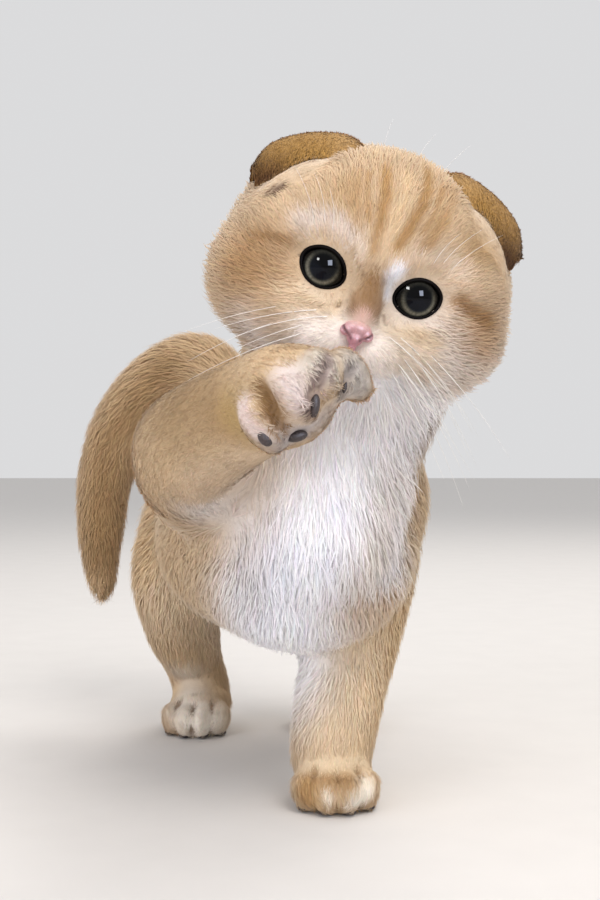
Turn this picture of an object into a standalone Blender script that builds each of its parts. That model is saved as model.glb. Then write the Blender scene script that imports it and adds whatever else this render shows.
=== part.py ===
"""A Scottish Fold kitten, life size, standing on three feet and reaching out with its right forepaw.

The solids are the outer surface of the coat, and the short fur itself is left out. Each mass of the
body is an ellipsoid or a loft with its real size in millimetres. A voxel remesh fuses them, smoothing
rounds the joins, and thin cuts then part the body into its named pieces. X points to the kitten's
left, -Y to its front and Z up, with the floor at Z = 0.
"""

import math

import bmesh
import bpy
import numpy as np
from mathutils import Euler, Matrix, Vector

MM = 0.001
GAP = 0.3  # between pieces that touch, in mm like every size below

# Head: a frame of its own, origin at the middle of the skull, face towards -Y.
HEAD_CENTRE = (17, -17, 141)
HEAD_PITCH, HEAD_ROLL, HEAD_YAW = 8, 18.4, 4  # degrees: nose down, crown to its left, face to its left
HEAD_HALF_WIDTH = 40
EYE_OUT, EYE_BACK, EYE_UP = 11.6, -20.4, -3.2
EYE_RADIUS = 7.2
LID_THICK = 1.3
FISSURE_WIDE, FISSURE_HIGH, FISSURE_TILT = 6.0, 4.8, 18
GAZE_OUT = 6  # degrees that each eye turns out from straight ahead
EAR_THICK, EAR_ACROSS, EAR_ALONG = 2.4, 11, 9  # mm, and points across and along the sheet

# Feet on the floor: the middle of each sole, and how far the toes turn out.
FORE_SOLE, FORE_TURN = (9, 4, 0), 3
RIGHT_HIND_SOLE, RIGHT_HIND_TURN = (-34, 95, 0), -4
LEFT_HIND_SOLE, LEFT_HIND_TURN = (9, 98, 0), 8
RAISED_PAW, RAISED_PITCH, RAISED_ROLL, RAISED_YAW = (-0.5, -83, 106), 18, -36, 6

VOXEL = 1.0
BODY_TRIANGLES = 7000

COAT_GOLD = (0.62, 0.42, 0.24, 1)
COAT_CREAM = (0.78, 0.66, 0.52, 1)
COAT_WHITE = (0.86, 0.84, 0.83, 1)
EAR_GOLD = (0.50, 0.31, 0.13, 1)
NOSE_PINK = (0.62, 0.30, 0.33, 1)
EYE_DARK = (0.02, 0.02, 0.025, 1)


def clear_scene():
    for found in list(bpy.data.objects):
        bpy.data.objects.remove(found)


def material(name, colour, roughness):
    made = bpy.data.materials.new(name)
    made.use_nodes = True
    shader = made.node_tree.nodes["Principled BSDF"]
    shader.inputs["Base Color"].default_value = colour
    shader.inputs["Roughness"].default_value = roughness
    shader.inputs["Metallic"].default_value = 0.0
    return made


def placed(location, pitch=0, roll=0, yaw=0):
    """A frame at a location, yawed about its own Z axis, then pitched about X, then rolled about Y."""
    turn = Matrix.Rotation(math.radians(roll), 4, "Y")
    turn = turn @ Matrix.Rotation(math.radians(pitch), 4, "X")
    turn = turn @ Matrix.Rotation(math.radians(yaw), 4, "Z")
    return Matrix.Translation(location) @ turn


HEAD = placed(HEAD_CENTRE, HEAD_PITCH, HEAD_ROLL, HEAD_YAW)


def mirrored(point, side):
    return (point[0] * side, point[1], point[2])


def ball(mesh, centre, radii, frame=None, turn=(0, 0, 0), around=32):
    """An ellipsoid of these radii, turned by degrees about X, Y and Z, in a frame."""
    local = Matrix.Translation(centre) @ Euler([math.radians(a) for a in turn]).to_matrix().to_4x4()
    local = local @ Matrix.Diagonal((*radii, 1))
    whole = (frame or Matrix.Identity(4)) @ local
    bmesh.ops.create_uvsphere(mesh, u_segments=around, v_segments=around // 2, radius=1, matrix=whole)


def smooth_stations(stations, steps):
    """Points and radii read from a Catmull-Rom curve through the stations."""
    rows = np.array([[*centre, *np.broadcast_to(radius, 2)] for centre, radius in stations], float)
    padded = np.vstack([2 * rows[0] - rows[1], rows, 2 * rows[-1] - rows[-2]])
    parts = []
    for before, start, end, after in zip(padded, padded[1:], padded[2:], padded[3:]):
        t = np.linspace(0, 1, steps, endpoint=False)[:, None]
        parts.append(
            start
            + 0.5 * t * (end - before)
            + t**2 * (before - 2.5 * start + 2 * end - 0.5 * after)
            + 0.5 * t**3 * (3 * (start - end) + after - before)
        )
    return np.vstack([*parts, rows[-1:]])


def loft(mesh, stations, up=(0, 0, 1), steps=5, sides=28, frame=None):
    """A limb or trunk: oval rings on a smooth path through the stations, with domed ends.

    A station is (centre, radius) or (centre, (half width, half height)), and up is the direction
    that half height points along."""
    rows = smooth_stations(stations, steps)
    centres, radii = rows[:, :3], rows[:, 3:]
    ahead = np.gradient(centres, axis=0)
    ahead /= np.linalg.norm(ahead, axis=1)[:, None]
    dome = np.radians([72, 48, 24])[:, None]
    first = centres[0] - ahead[0] * radii[0].mean() * np.sin(dome)
    last = centres[-1] + ahead[-1] * radii[-1].mean() * np.sin(dome[::-1])
    centres = np.vstack([first, centres, last])
    radii = np.vstack([radii[0] * np.cos(dome), radii, radii[-1] * np.cos(dome[::-1])])
    ahead = np.vstack([ahead[:1].repeat(3, 0), ahead, ahead[-1:].repeat(3, 0)])
    side = np.cross(ahead, up)
    side /= np.linalg.norm(side, axis=1)[:, None]
    upward = np.cross(side, ahead)
    frame = frame or Matrix.Identity(4)
    angle = np.linspace(0, 2 * math.pi, sides, endpoint=False)
    rings = []
    for centre, (wide, high), across, above in zip(centres, radii, side, upward):
        offsets = wide * np.cos(angle)[:, None] * across + high * np.sin(angle)[:, None] * above
        rings.append([mesh.verts.new(frame @ Vector(p)) for p in centre + offsets])
    for low, high in zip(rings, rings[1:]):
        for i in range(sides):
            j = (i + 1) % sides
            mesh.faces.new((low[i], low[j], high[j], high[i]))
    ends = [ahead[0] * -0.3 * radii[0].mean() + centres[0], ahead[-1] * 0.3 * radii[-1].mean() + centres[-1]]
    for ring, end in zip((rings[0][::-1], rings[-1]), ends):
        tip = mesh.verts.new(frame @ Vector(end))
        for i in range(sides):
            mesh.faces.new((ring[i], ring[(i + 1) % sides], tip))


def as_object(mesh, name, keep_frame=False):
    """An object in metres from a bmesh in millimetres, its faces turned outwards."""
    bmesh.ops.recalc_face_normals(mesh, faces=mesh.faces)
    bmesh.ops.scale(mesh, vec=(MM,) * 3, verts=mesh.verts)
    data = bpy.data.meshes.new(name)
    mesh.to_mesh(data)
    mesh.free()
    made = bpy.data.objects.new(name, data)
    bpy.context.scene.collection.objects.link(made)
    return made


def settle(part):
    """Applies the modifiers of a part."""
    bpy.context.view_layer.update()
    graph = bpy.context.evaluated_depsgraph_get()
    data = bpy.data.meshes.new_from_object(part.evaluated_get(graph))
    part.modifiers.clear()
    part.data = data
    return part


def boolean(part, tool, operation):
    cut = part.modifiers.new(operation.lower(), "BOOLEAN")
    cut.operation = operation
    cut.object = tool
    cut.solver = "EXACT"
    return settle(part)


def discard(*tools):
    for tool in tools:
        bpy.data.objects.remove(tool)


def largest_piece(part):
    """Keeps the closed surface with the most faces, and drops any scrap that a cut leaves."""
    mesh = bmesh.new()
    mesh.from_mesh(part.data)
    left = set(mesh.faces)
    pieces = []
    while left:
        piece, edge = set(), [left.pop()]
        while edge:
            face = edge.pop()
            piece.add(face)
            found = {other for side in face.edges for other in side.link_faces} & left
            left -= found
            edge.extend(found)
        pieces.append(piece)
    kept = max(pieces, key=len)
    scraps = [face for piece in pieces if piece is not kept for face in piece]
    bmesh.ops.delete(mesh, geom=scraps, context="FACES")
    mesh.to_mesh(part.data)
    mesh.free()
    return part


def copy_of(part, name):
    made = part.copy()
    made.data = part.data.copy()
    made.name = name
    bpy.context.scene.collection.objects.link(made)
    return made


def half_space(point, normal, reach=300):
    """A block that fills the side of a plane that its normal points to."""
    mesh = bmesh.new()
    turn = Vector(normal).to_track_quat("Z", "Y").to_matrix().to_4x4()
    frame = Matrix.Translation(point) @ turn @ Matrix.Translation((0, 0, reach / 2))
    bmesh.ops.create_cube(mesh, size=reach, matrix=frame)
    return as_object(mesh, "side_of_plane")


def divide(part, point, normal, names):
    """Parts a piece at a plane, with the usual gap. The first name is the side the normal points to."""
    normal = Vector(normal).normalized()
    point = Vector(point)
    made = []
    for name, way in zip(names, (1, -1)):
        side = half_space(point + normal * way * GAP / 2, normal * way)
        made.append(largest_piece(boolean(copy_of(part, name), side, "INTERSECT")))
        discard(side)
    discard(part)
    return made


def take_part(rest, name, block, away):
    """Parts from the rest what lies in a block, and moves the block by away for the gap between them."""
    part = copy_of(rest, name)
    boolean(rest, block, "DIFFERENCE")
    block.location = Vector(away) * MM
    boolean(part, block, "INTERSECT")
    discard(block)
    largest_piece(rest)
    return largest_piece(part)


# Forms of the trunk and the limbs: (centre, radius) or (centre, (half width, half height)).
TRUNK = [
    ((4, -12, 75), (23, 24)),
    ((3, -4, 71), (29, 29)),
    ((0, 10, 69), (32, 30)),
    ((-5, 29, 69), (32.5, 29.5)),
    ((-10, 51, 67), (34, 29)),
    ((-15, 73, 68), (32, 28.5)),
    ((-19, 92, 70), (27, 26)),
    ((-22, 106, 73), (19, 19)),
]
NECK = [((2, 14, 86), 27), ((8, 1, 104), 27.5), ((14, -10, 122), 29)]
TAIL = [
    ((-21, 100, 84), 12),
    ((-23, 110, 107), 12.6),
    ((-34, 113, 123.5), 12.8),
    ((-48, 113, 120), 12.6),
    ((-61, 111, 106), 11.9),
    ((-68, 109, 87), 10.6),
    ((-70, 108, 66), 8.9),
    ((-69.5, 108, 48), 6.0),
]
RAISED_ARM = [
    ((-8, 27, 84), 18),
    ((-18, 9, 86), 19.5),
    ((-25, -9, 90), 18),
    ((-26.5, -27, 95), 16),
    ((-19, -46, 100), 13.8),
    ((-9, -65, 104.5), 12),
    ((-3, -79, 106), 11.5),
]
FORELEG = [
    ((17, 12, 82), 18.5),
    ((17, 16, 64), 17),
    ((15.5, 17, 47), 14.6),
    ((11.5, 12, 30), 13.3),
    ((8.8, 8, 15), 12.2),
    ((8.6, 6, 9), 11),
]


def hind_leg(hip, foot, side):
    """Thigh, knee, hock and instep from the hip to the middle of the sole."""
    knee_out, hock_out = 5 * side, 3 * side
    return [
        (hip, (19, 22)),
        ((hip[0] + knee_out, hip[1] - 12, hip[2] - 16), (16, 18.5)),
        ((foot[0] + knee_out, foot[1] - 10, foot[2] + 36), 13.5),
        ((foot[0] + hock_out, foot[1] + 3, foot[2] + 24), 11),
        ((foot[0], foot[1] + 6, foot[2] + 13), 10.4),
        ((foot[0], foot[1] + 2, foot[2] + 8.5), 9.6),
    ]


TAIL_OUTLINE = [(-110, -20), (-57.5, -20), (-57.5, 82), (-44, 90), (-5, 105), (-5, 160), (-110, 160)]
RIGHT_HIND_LEG = hind_leg((-35, 91, 70), RIGHT_HIND_SOLE, -1)
LEFT_HIND_LEG = hind_leg((-6, 93, 70), LEFT_HIND_SOLE, 1)


def toe(mesh, frame, place, size, turn):
    """One toe and the pad under its tip."""
    ball(mesh, place, size, frame, turn=turn, around=24)
    under = Euler([math.radians(angle) for angle in turn]).to_matrix() @ Vector((0, -1.6, -3.9))
    ball(mesh, Vector(place) + under, (size[0] * 0.8, 3.6, 2.8), frame, around=20)


def paw(mesh, frame, wide=12.6, long=14, high=8.6):
    """A paw that stands, in a frame on its sole: palm, four toes and pads, toes towards -Y."""
    ball(mesh, (0, 2, high), (wide - 1.2, long, high - 0.6), frame)
    share = wide / 12.6
    for across, ahead, splay in ((-8.4, -9.5, -10), (-3, -13.5, -3), (3, -13.5, 3), (8.4, -9.5, 10)):
        place = (across * share, ahead * long / 14, 5.9)
        toe(mesh, frame, place, (4.1 * share, 7, 5.6), (10, 0, -splay))
    ball(mesh, (0, 1.5, 2.6), (7.6 * share, 6.2, 3.6), frame, around=24)


def reaching_paw(mesh, frame):
    """The raised paw in a frame in its middle: palm, four spread toes that hang, and pads below."""
    ball(mesh, (0, 6, 1.5), (10.6, 11.5, 8.2), frame)
    ball(mesh, (0.5, 1, -5), (7.2, 5.6, 3.8), frame, around=24)
    toe(mesh, frame, (-9.6, -1.4, -0.4), (3.9, 6.8, 6.0), (26, 0, 12))
    toe(mesh, frame, (-1.6, -5.4, 1.6), (4.3, 7.4, 6.2), (24, 0, 3))
    toe(mesh, frame, (6.4, -4.4, 1.2), (4.1, 7.0, 6.0), (24, 0, -6))
    toe(mesh, frame, (11.2, -0.2, -3.0), (4.0, 6.4, 6.0), (26, 0, -12))


def body_masses():
    mesh = bmesh.new()
    loft(mesh, TRUNK)
    loft(mesh, NECK, up=(0, 1, 0.2))
    loft(mesh, TAIL, up=(0, 1, 0))
    loft(mesh, RAISED_ARM)
    loft(mesh, FORELEG, up=(0, 1, 0))
    loft(mesh, RIGHT_HIND_LEG, up=(0, 1, 0))
    loft(mesh, LEFT_HIND_LEG, up=(0, 1, 0))
    ball(mesh, (20, 12, 82), (16, 24, 23))
    ball(mesh, (-15, 17, 82), (21, 27, 24))
    ball(mesh, (4, -12, 88), (26, 18, 28))
    ball(mesh, (2, 20, 90), (22, 27, 19))
    paw(mesh, placed(FORE_SOLE, yaw=FORE_TURN), wide=13.2)
    paw(mesh, placed(RIGHT_HIND_SOLE, yaw=RIGHT_HIND_TURN), wide=12.3, long=15)
    paw(mesh, placed(LEFT_HIND_SOLE, yaw=LEFT_HIND_TURN), wide=12.3, long=15)
    reaching_paw(mesh, placed(RAISED_PAW, RAISED_PITCH, RAISED_ROLL, RAISED_YAW))
    return mesh


def head_masses(mesh):
    """Skull, cheeks, muzzle, chin, lids and the front rims of the ears, all in the head's frame."""
    ball(mesh, (0, 3, 0.5), (35.5, 33, 30), HEAD)
    ball(mesh, (0, -9, 8), (27, 20.5, 21.5), HEAD)
    for side in (-1, 1):
        ball(mesh, mirrored((19, -4, -9), side), (20.5, 23, 18.5), HEAD)
        ball(mesh, mirrored((19.5, -1, 1), side), (17.8, 26, 19), HEAD)
        ball(mesh, mirrored((13.5, -17.5, -14.5), side), (15, 12.5, 11), HEAD)
        ball(mesh, mirrored((6.2, -26.4, -18.4), side), (8.4, 8.6, 6.7), HEAD)
        ball(mesh, mirrored((EYE_OUT, EYE_BACK, EYE_UP), side), (EYE_RADIUS + LID_THICK,) * 3, HEAD)
        rim = [(19, -15.8, 18.6), (23.4, -16.4, 15.4), (27.8, -15.2, 10.6), (31.6, -12, 5.6)]
        loft(mesh, [(mirrored(point, side), 2.0) for point in rim], frame=HEAD, sides=16)
    ball(mesh, (0, -23, -25.4), (7.4, 8, 6), HEAD)
    ball(mesh, (0, -10, -18), (22, 19, 13), HEAD)
    loft(mesh, [((0, -21, 8), 8.5), ((0, -26.5, -3), 6.2), ((0, -31.2, -12), 4.6)], frame=HEAD)


def weights(part, name, values):
    group = part.vertex_groups.new(name=name)
    for i, value in enumerate(values):
        group.add([i], float(value), "REPLACE")


def near_detail(part):
    """How near each point is to the face or a paw: 1 there, 0 on the plain body."""
    points = np.array([v.co for v in part.data.vertices]) / MM
    face = np.array(HEAD @ Vector((0, -26, -9)))
    zones = [(face, 24), (np.array(RAISED_PAW) + (0, -4, 0), 17)]
    zones += [(np.array(sole) + (0, -6, 6), 15) for sole in (FORE_SOLE, RIGHT_HIND_SOLE, LEFT_HIND_SOLE)]
    nearest = np.zeros(len(points))
    for centre, radius in zones:
        away = np.linalg.norm(points - centre, axis=1) / radius
        nearest = np.maximum(nearest, np.clip(1.5 - away, 0, 0.5) * 2)
    return nearest


def fused_body():
    """One closed coat surface: fused by voxels, rounded by smoothing, then thinned out."""
    mesh = body_masses()
    head_masses(mesh)
    whole = as_object(mesh, "whole")
    fuse = whole.modifiers.new("fuse", "REMESH")
    fuse.mode = "VOXEL"
    fuse.voxel_size = VOXEL * MM
    settle(whole)
    detail = near_detail(whole)
    weights(whole, "plain", 1 - detail)
    for name, group, repeats in (("round_body", "plain", 60), ("round_all", "", 5)):
        rounding = whole.modifiers.new(name, "SMOOTH")
        rounding.factor = 0.5
        rounding.iterations = repeats
        rounding.vertex_group = group
    settle(whole)
    whole.vertex_groups.clear()
    thin = whole.modifiers.new("thin_out", "DECIMATE")
    thin.use_collapse_triangulate = True
    thin.ratio = BODY_TRIANGLES / (2 * len(whole.data.polygons))
    settle(whole)
    whole.vertex_groups.clear()
    floor = half_space((0, 0, 0), (0, 0, 1))
    boolean(whole, floor, "INTERSECT")
    discard(floor)
    return largest_piece(whole)


def prism(corners, low, high, frame=None):
    """A straight-sided block: the corners of its outline in a frame, from low to high along Z."""
    mesh = bmesh.new()
    frame = frame or Matrix.Identity(4)
    rings = [[mesh.verts.new(frame @ Vector((x, y, z))) for x, y in corners] for z in (low, high)]
    mesh.faces.new(rings[0])
    mesh.faces.new(rings[1])
    for i in range(len(corners)):
        j = (i + 1) % len(corners)
        mesh.faces.new((rings[0][i], rings[0][j], rings[1][j], rings[1][i]))
    return as_object(mesh, "block")


SEEN_FROM_FRONT = Matrix.Rotation(math.radians(90), 4, "X")  # outlines in X and Z, depth along -Y


def eye_frame(side):
    eye = Matrix.Translation(mirrored((EYE_OUT, EYE_BACK, EYE_UP), side))
    return HEAD @ eye @ Matrix.Rotation(math.radians(GAZE_OUT * side), 4, "Z")


def eyeball(side, grown=0.0):
    mesh = bmesh.new()
    ball(mesh, (0, 0, 0), (EYE_RADIUS + grown,) * 3, eye_frame(side), around=22)
    return as_object(mesh, "eyeball")


def fissure(side):
    """The almond between the lids, as a cutter along the gaze."""
    mesh = bmesh.new()
    angle = np.linspace(0, 2 * math.pi, 24, endpoint=False)
    corner = 1 + 0.10 * np.cos(angle) ** 6
    tilt = Matrix.Rotation(math.radians(-FISSURE_TILT * side), 4, "Y")
    frame = eye_frame(side) @ tilt
    x = FISSURE_WIDE * np.cos(angle) * corner
    z = FISSURE_HIGH * np.sin(angle)
    near = [mesh.verts.new(frame @ Vector((a, -14, b))) for a, b in zip(x * 1.06, z * 1.06)]
    far = [mesh.verts.new(frame @ Vector((a, -2, b))) for a, b in zip(x * 0.9, z * 0.9)]
    mesh.faces.new(near)
    mesh.faces.new(far[::-1])
    for i in range(len(near)):
        j = (i + 1) % len(near)
        mesh.faces.new((near[i], far[i], far[j], near[j]))
    return as_object(mesh, "fissure")


def face_groove(points, radius):
    mesh = bmesh.new()
    loft(mesh, [(point, radius) for point in points], frame=HEAD, steps=4, sides=8)
    return as_object(mesh, "groove")


def carve_face(head):
    """Eye sockets, the slits between the lids, the line of the mouth and the groove under the nose."""
    for side in (-1, 1):
        for tool in (eyeball(side, GAP), fissure(side)):
            boolean(head, tool, "DIFFERENCE")
            discard(tool)
        mouth = [(0, -33.2, -23.4), (3.6, -34.2, -25.3), (7.6, -32, -25.2), (11.8, -27.4, -23.8)]
        groove = face_groove([mirrored(point, side) for point in mouth], 0.75)
        boolean(head, groove, "DIFFERENCE")
        discard(groove)
    philtrum = face_groove([(0, -37, -18.6), (0, -35.4, -21), (0, -34, -23.6)], 0.7)
    boolean(head, philtrum, "DIFFERENCE")
    discard(philtrum)
    return largest_piece(head)


def nose_leather(grown=0.0):
    """The bare nose: broad above, narrow at the lip, with a nostril on each side."""
    mesh = bmesh.new()
    ball(mesh, (0, -33.4, -14.2), (4.3 + grown, 3.4 + grown, 2.5 + grown), HEAD, around=20)
    ball(mesh, (0, -33.6, -17), (2.2 + grown, 3.0 + grown, 3.2 + grown), HEAD, around=16)
    part = as_object(mesh, "nose")
    fuse = part.modifiers.new("fuse", "REMESH")
    fuse.mode = "VOXEL"
    fuse.voxel_size = 0.45 * MM
    rounding = part.modifiers.new("rounding", "SMOOTH")
    rounding.iterations = 4
    thin = part.modifiers.new("thin_out", "DECIMATE")
    thin.ratio = 0.10
    thin.use_collapse_triangulate = True
    return settle(part)


def carve_nostrils(nose):
    """The two nostrils: short slanting slits, high at the wings and low towards the middle."""
    slit = [(4.4, -34.6, -13.4), (3.0, -36.1, -14.6), (1.6, -36.8, -15.9)]
    for side in (-1, 1):
        groove = face_groove([mirrored(point, side) for point in slit], 0.6)
        boolean(nose, groove, "DIFFERENCE")
        discard(groove)
    nose.name = "nose"
    return largest_piece(nose)


def ear(side):
    """A folded ear: a sheet from its root behind, up over the fold and down to its free rim."""
    root = [(14, 0, 26.5), (19.5, 5, 24.5), (26, 8.5, 20), (31, 8, 14), (33.5, 3, 8.5)]
    fold = [(15.5, -5.5, 28.6), (22, -4, 27.2), (27.8, -2.8, 24.6), (32.6, -3, 20.6), (35, -5.8, 14.2)]
    rim = [(17.5, -13.8, 22.6), (22, -15.2, 20.9), (26, -14.7, 17.9), (29.4, -13.2, 14.4), (33, -9.8, 10.6)]
    share = np.linspace(0, 1, EAR_ACROSS)
    lines = [
        np.array([np.interp(share, np.linspace(0, 1, 5), column) for column in zip(*line)]).T
        for line in (root, fold, rim)
    ]
    mesh = bmesh.new()
    rows = []
    for v in np.linspace(0, 1, EAR_ALONG):
        blend = ((1 - v) * (1 - 2 * v), 4 * v * (1 - v), v * (2 * v - 1))
        row = sum(weight * line for weight, line in zip(blend, lines))
        rows.append([mesh.verts.new(HEAD @ Vector(mirrored(point, side))) for point in row])
    for low, high in zip(rows, rows[1:]):
        for i in range(len(low) - 1):
            mesh.faces.new((low[i], low[i + 1], high[i + 1], high[i]))
    part = as_object(mesh, "left_ear" if side > 0 else "right_ear")
    thick = part.modifiers.new("thickness", "SOLIDIFY")
    thick.thickness = EAR_THICK * MM
    thick.offset = 0
    thick.use_even_offset = True
    return settle(part)


def grown_copy(part, by):
    made = copy_of(part, part.name + "_grown")
    grow = made.modifiers.new("grow", "DISPLACE")
    grow.strength = by * MM
    grow.mid_level = 0
    return settle(made)


def part_limbs(body):
    """The tail and the four legs, each parted from the body by one block."""
    shoulder = placed((-19, 10, 84), pitch=-13.9)
    blocks = (
        (
            "tail",
            prism(TAIL_OUTLINE, -145, -78, SEEN_FROM_FRONT),
            (-0.12, 0, 0.27),
        ),
        (
            "right_foreleg",
            prism([(-36, 16.5), (62, -119), (-60, -119), (-60, 16.5)], -30, 22, shoulder),
            (-0.24, -0.18, 0),
        ),
        (
            "left_foreleg",
            prism([(-3, -9), (-3, 44), (34, 84), (62, 84), (62, -9)], -37, 30, SEEN_FROM_FRONT),
            (0.13, -0.3, -0.3),
        ),
        (
            "right_hind_leg",
            prism([(-14, -9), (-14, 41), (-34, 92), (-62, 92), (-62, -9)], -135, -56, SEEN_FROM_FRONT),
            (-0.21, 0.3, -0.3),
        ),
        (
            "left_hind_leg",
            prism([(-12, -9), (-12, 41), (8, 92), (42, 92), (42, -9)], -135, -56, SEEN_FROM_FRONT),
            (0.21, 0.3, -0.3),
        ),
    )
    return [take_part(body, name, block, away) for name, block, away in blocks]


def centre_on_floor(parts):
    """Moves the origin to the floor under the middle of the whole."""
    points = np.array([vertex.co for part in parts for vertex in part.data.vertices])
    middle = (points.min(axis=0) + points.max(axis=0)) / 2
    for part in parts:
        part.data.transform(Matrix.Translation((-middle[0], -middle[1], 0)))


def build():
    clear_scene()
    gold = material("gold_coat", COAT_GOLD, 0.9)
    cream = material("cream_coat", COAT_CREAM, 0.9)
    white = material("white_coat", COAT_WHITE, 0.9)
    ear_gold = material("ear_coat", EAR_GOLD, 0.85)
    pink = material("nose_leather", NOSE_PINK, 0.5)
    dark = material("eye", EYE_DARK, 0.08)

    body = fused_body()
    limbs = part_limbs(body)
    nape = HEAD @ Vector((0, 0, -27.5))
    head, body = divide(body, nape, HEAD.to_3x3() @ Vector((0, -0.25, 1)), ("head", "body"))
    neck, torso = divide(body, (5, 4, 98), (0.1, -0.35, 0.94), ("neck", "torso"))

    carve_face(head)
    nose_space = nose_leather(GAP)
    boolean(head, nose_space, "DIFFERENCE")
    discard(nose_space)
    nose = carve_nostrils(nose_leather())
    ears = [ear(side) for side in (-1, 1)]
    for one in ears:
        space = grown_copy(one, GAP)
        boolean(head, space, "DIFFERENCE")
        discard(space)
    largest_piece(head)
    eyes = []
    for side, name in ((-1, "right_eye"), (1, "left_eye")):
        eye = eyeball(side)
        eye.name = name
        eyes.append(eye)

    looks = (
        (gold, (head, *limbs)),
        (cream, (neck,)),
        (white, (torso,)),
        (ear_gold, ears),
        (pink, (nose,)),
        (dark, eyes),
    )
    for look, parts in looks:
        for found in parts:
            found.data.materials.append(look)
    centre_on_floor([found for _, parts in looks for found in parts])


if __name__ == "__main__":
    build()
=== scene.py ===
"""A Scottish Fold kitten that stands on three feet and reaches out with its right forepaw.

Skin, eyes, nose, pads, whiskers and coat are surfaces worked out from sizes in millimetres, in the kitten's
own frame: X to its left, -Y to its front, Z up and the floor at Z = 0. A frame is a pair, a turn as a 3 x 3
matrix and an origin. One function puts every finished surface into metres, in the frame of the solids.
"""

import math

import bpy
import numpy as np
from mathutils import Matrix


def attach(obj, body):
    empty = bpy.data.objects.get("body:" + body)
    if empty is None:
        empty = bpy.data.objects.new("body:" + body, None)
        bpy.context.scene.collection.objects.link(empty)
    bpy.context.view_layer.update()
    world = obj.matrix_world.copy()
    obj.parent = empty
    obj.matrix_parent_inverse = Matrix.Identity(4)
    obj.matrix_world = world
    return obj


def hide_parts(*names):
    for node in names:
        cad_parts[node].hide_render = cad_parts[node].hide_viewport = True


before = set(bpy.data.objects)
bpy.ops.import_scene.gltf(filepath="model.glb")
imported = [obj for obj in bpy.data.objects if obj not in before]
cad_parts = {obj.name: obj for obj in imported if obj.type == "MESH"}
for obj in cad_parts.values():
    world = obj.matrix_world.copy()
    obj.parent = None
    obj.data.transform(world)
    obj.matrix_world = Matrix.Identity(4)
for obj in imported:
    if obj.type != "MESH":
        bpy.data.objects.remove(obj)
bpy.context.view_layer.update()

SHIFT = np.array((11.452, -15.261, 0.0))  # mm from the kitten's own frame to the frame of the solids
MM = 0.001  # a millimetre in metres
VOXEL = 1.08  # mm, the grid of the skin
TUFTS = 142000
PIECE_TUFTS = 18500  # the most tufts in a piece, at 10 triangles each
CHANCE = np.random.default_rng(20261)
SIDES = {-1: "right", 1: "left"}


# Frames and turns


def turn_about(axis, degrees):
    """The turn about X, Y or Z (0, 1, 2) by an angle: cosine and sine in the plane of the other two axes."""
    a, b = (axis + 1) % 3, (axis + 2) % 3
    made = np.eye(3)
    c, s = math.cos(math.radians(degrees)), math.sin(math.radians(degrees))
    made[a, a], made[a, b], made[b, a], made[b, b] = c, -s, s, c
    return made


def posed(origin, pitch=0, roll=0, yaw=0):
    """A frame yawed about Z, then pitched about X, then rolled about Y."""
    return turn_about(1, roll) @ turn_about(0, pitch) @ turn_about(2, yaw), np.array(origin, float)


def within(outer, centre, pitch=0, roll=0, yaw=0):
    """A frame inside another: pitched about X, then rolled about Y, then yawed about Z."""
    turn = turn_about(2, yaw) @ turn_about(1, roll) @ turn_about(0, pitch)
    return outer[0] @ turn, put(centre, outer)


def put(points, spot):
    """Points of a frame in the kitten's frame: turned, then moved by the origin."""
    return np.asarray(points, float) @ spot[0].T + spot[1]


def seen_in(points, spot):
    """Points of the kitten's frame in another frame: the origin taken off, then turned back."""
    return (points - spot[1]) @ spot[0]


def unit(vectors):
    """Vectors brought to length 1."""
    return vectors / np.maximum(np.linalg.norm(vectors, axis=-1, keepdims=True), 1e-9)


def rise(values, start, end):
    """0 before start, 1 after end, and the smooth cubic 3t^2 - 2t^3 between them."""
    t = np.clip((values - start) / (end - start), 0, 1)
    return t * t * (3 - 2 * t)


def angles(many):
    """Angles evenly all the way round, in radians."""
    return np.linspace(0, 2 * math.pi, many, endpoint=False)


def fading(gap, reach):
    """exp(-(distance / reach)^2): 1 at a place, and next to nothing from twice the reach."""
    return np.exp(-((gap / reach) ** 2))


GROUND = (np.eye(3), np.zeros(3))
HEAD = posed((17, -17, 141), 8, 18.4, 4)
EYE_OUT, EYE_BACK, EYE_UP, EYE_RADIUS = 11.2, -20.4, -3.2, 7.2  # mm, in the frame of the head
FISSURE_WIDE, FISSURE_HIGH = 5.1, 4.35  # mm from the gaze to the corners of the lids, and up to their middle
FISSURE_TILT, GAZE_OUT = 18, 6  # degrees
LID_CORNER = 0.08  # how much further out the corners of the lids are than an ellipse
NOSE_TIP = put((0, -35.5, -13.5), HEAD)
RAISED = posed((-0.5, -83, 106), 18, -36, 6)  # the palm of the raised paw
RAISED_TOES = [  # the frame and the radii of each
    (within(RAISED, (-9.6, -1.4, -0.4), 26, 0, 12), (3.9, 6.8, 6.0)),
    (within(RAISED, (-1.6, -5.4, 1.6), 24, 0, 3), (4.3, 7.4, 6.2)),
    (within(RAISED, (6.4, -4.4, 1.2), 24, 0, -6), (4.1, 7.0, 6.0)),
    (within(RAISED, (11.2, -0.2, -3.0), 26, 0, -12), (4.0, 6.4, 6.0)),
]
FORE_SOLE = posed((9, 4, 0), yaw=3)
RIGHT_HIND_SOLE, LEFT_HIND_SOLE = posed((-34, 95, 0), yaw=-4), posed((9, 98, 0), yaw=8)
PAW_WIDE, PAW_LONG, PAW_HIGH = 12.6, 14, 8.6  # mm, the paw that TOES belongs to
TOES = ((-8.4, -9.5, -10), (-3, -13.5, -3), (3, -13.5, 3), (8.4, -9.5, 10))  # mm across and ahead, splay
# sole, share of PAW_WIDE, length in mm
PAWS = ((FORE_SOLE, 0.99, 13.4), (RIGHT_HIND_SOLE, 0.98, 15), (LEFT_HIND_SOLE, 0.98, 15))
PAW_WIDTHS = (12.5, 12.3, 12.3)  # mm from the middle of each of the PAWS to its side


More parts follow.
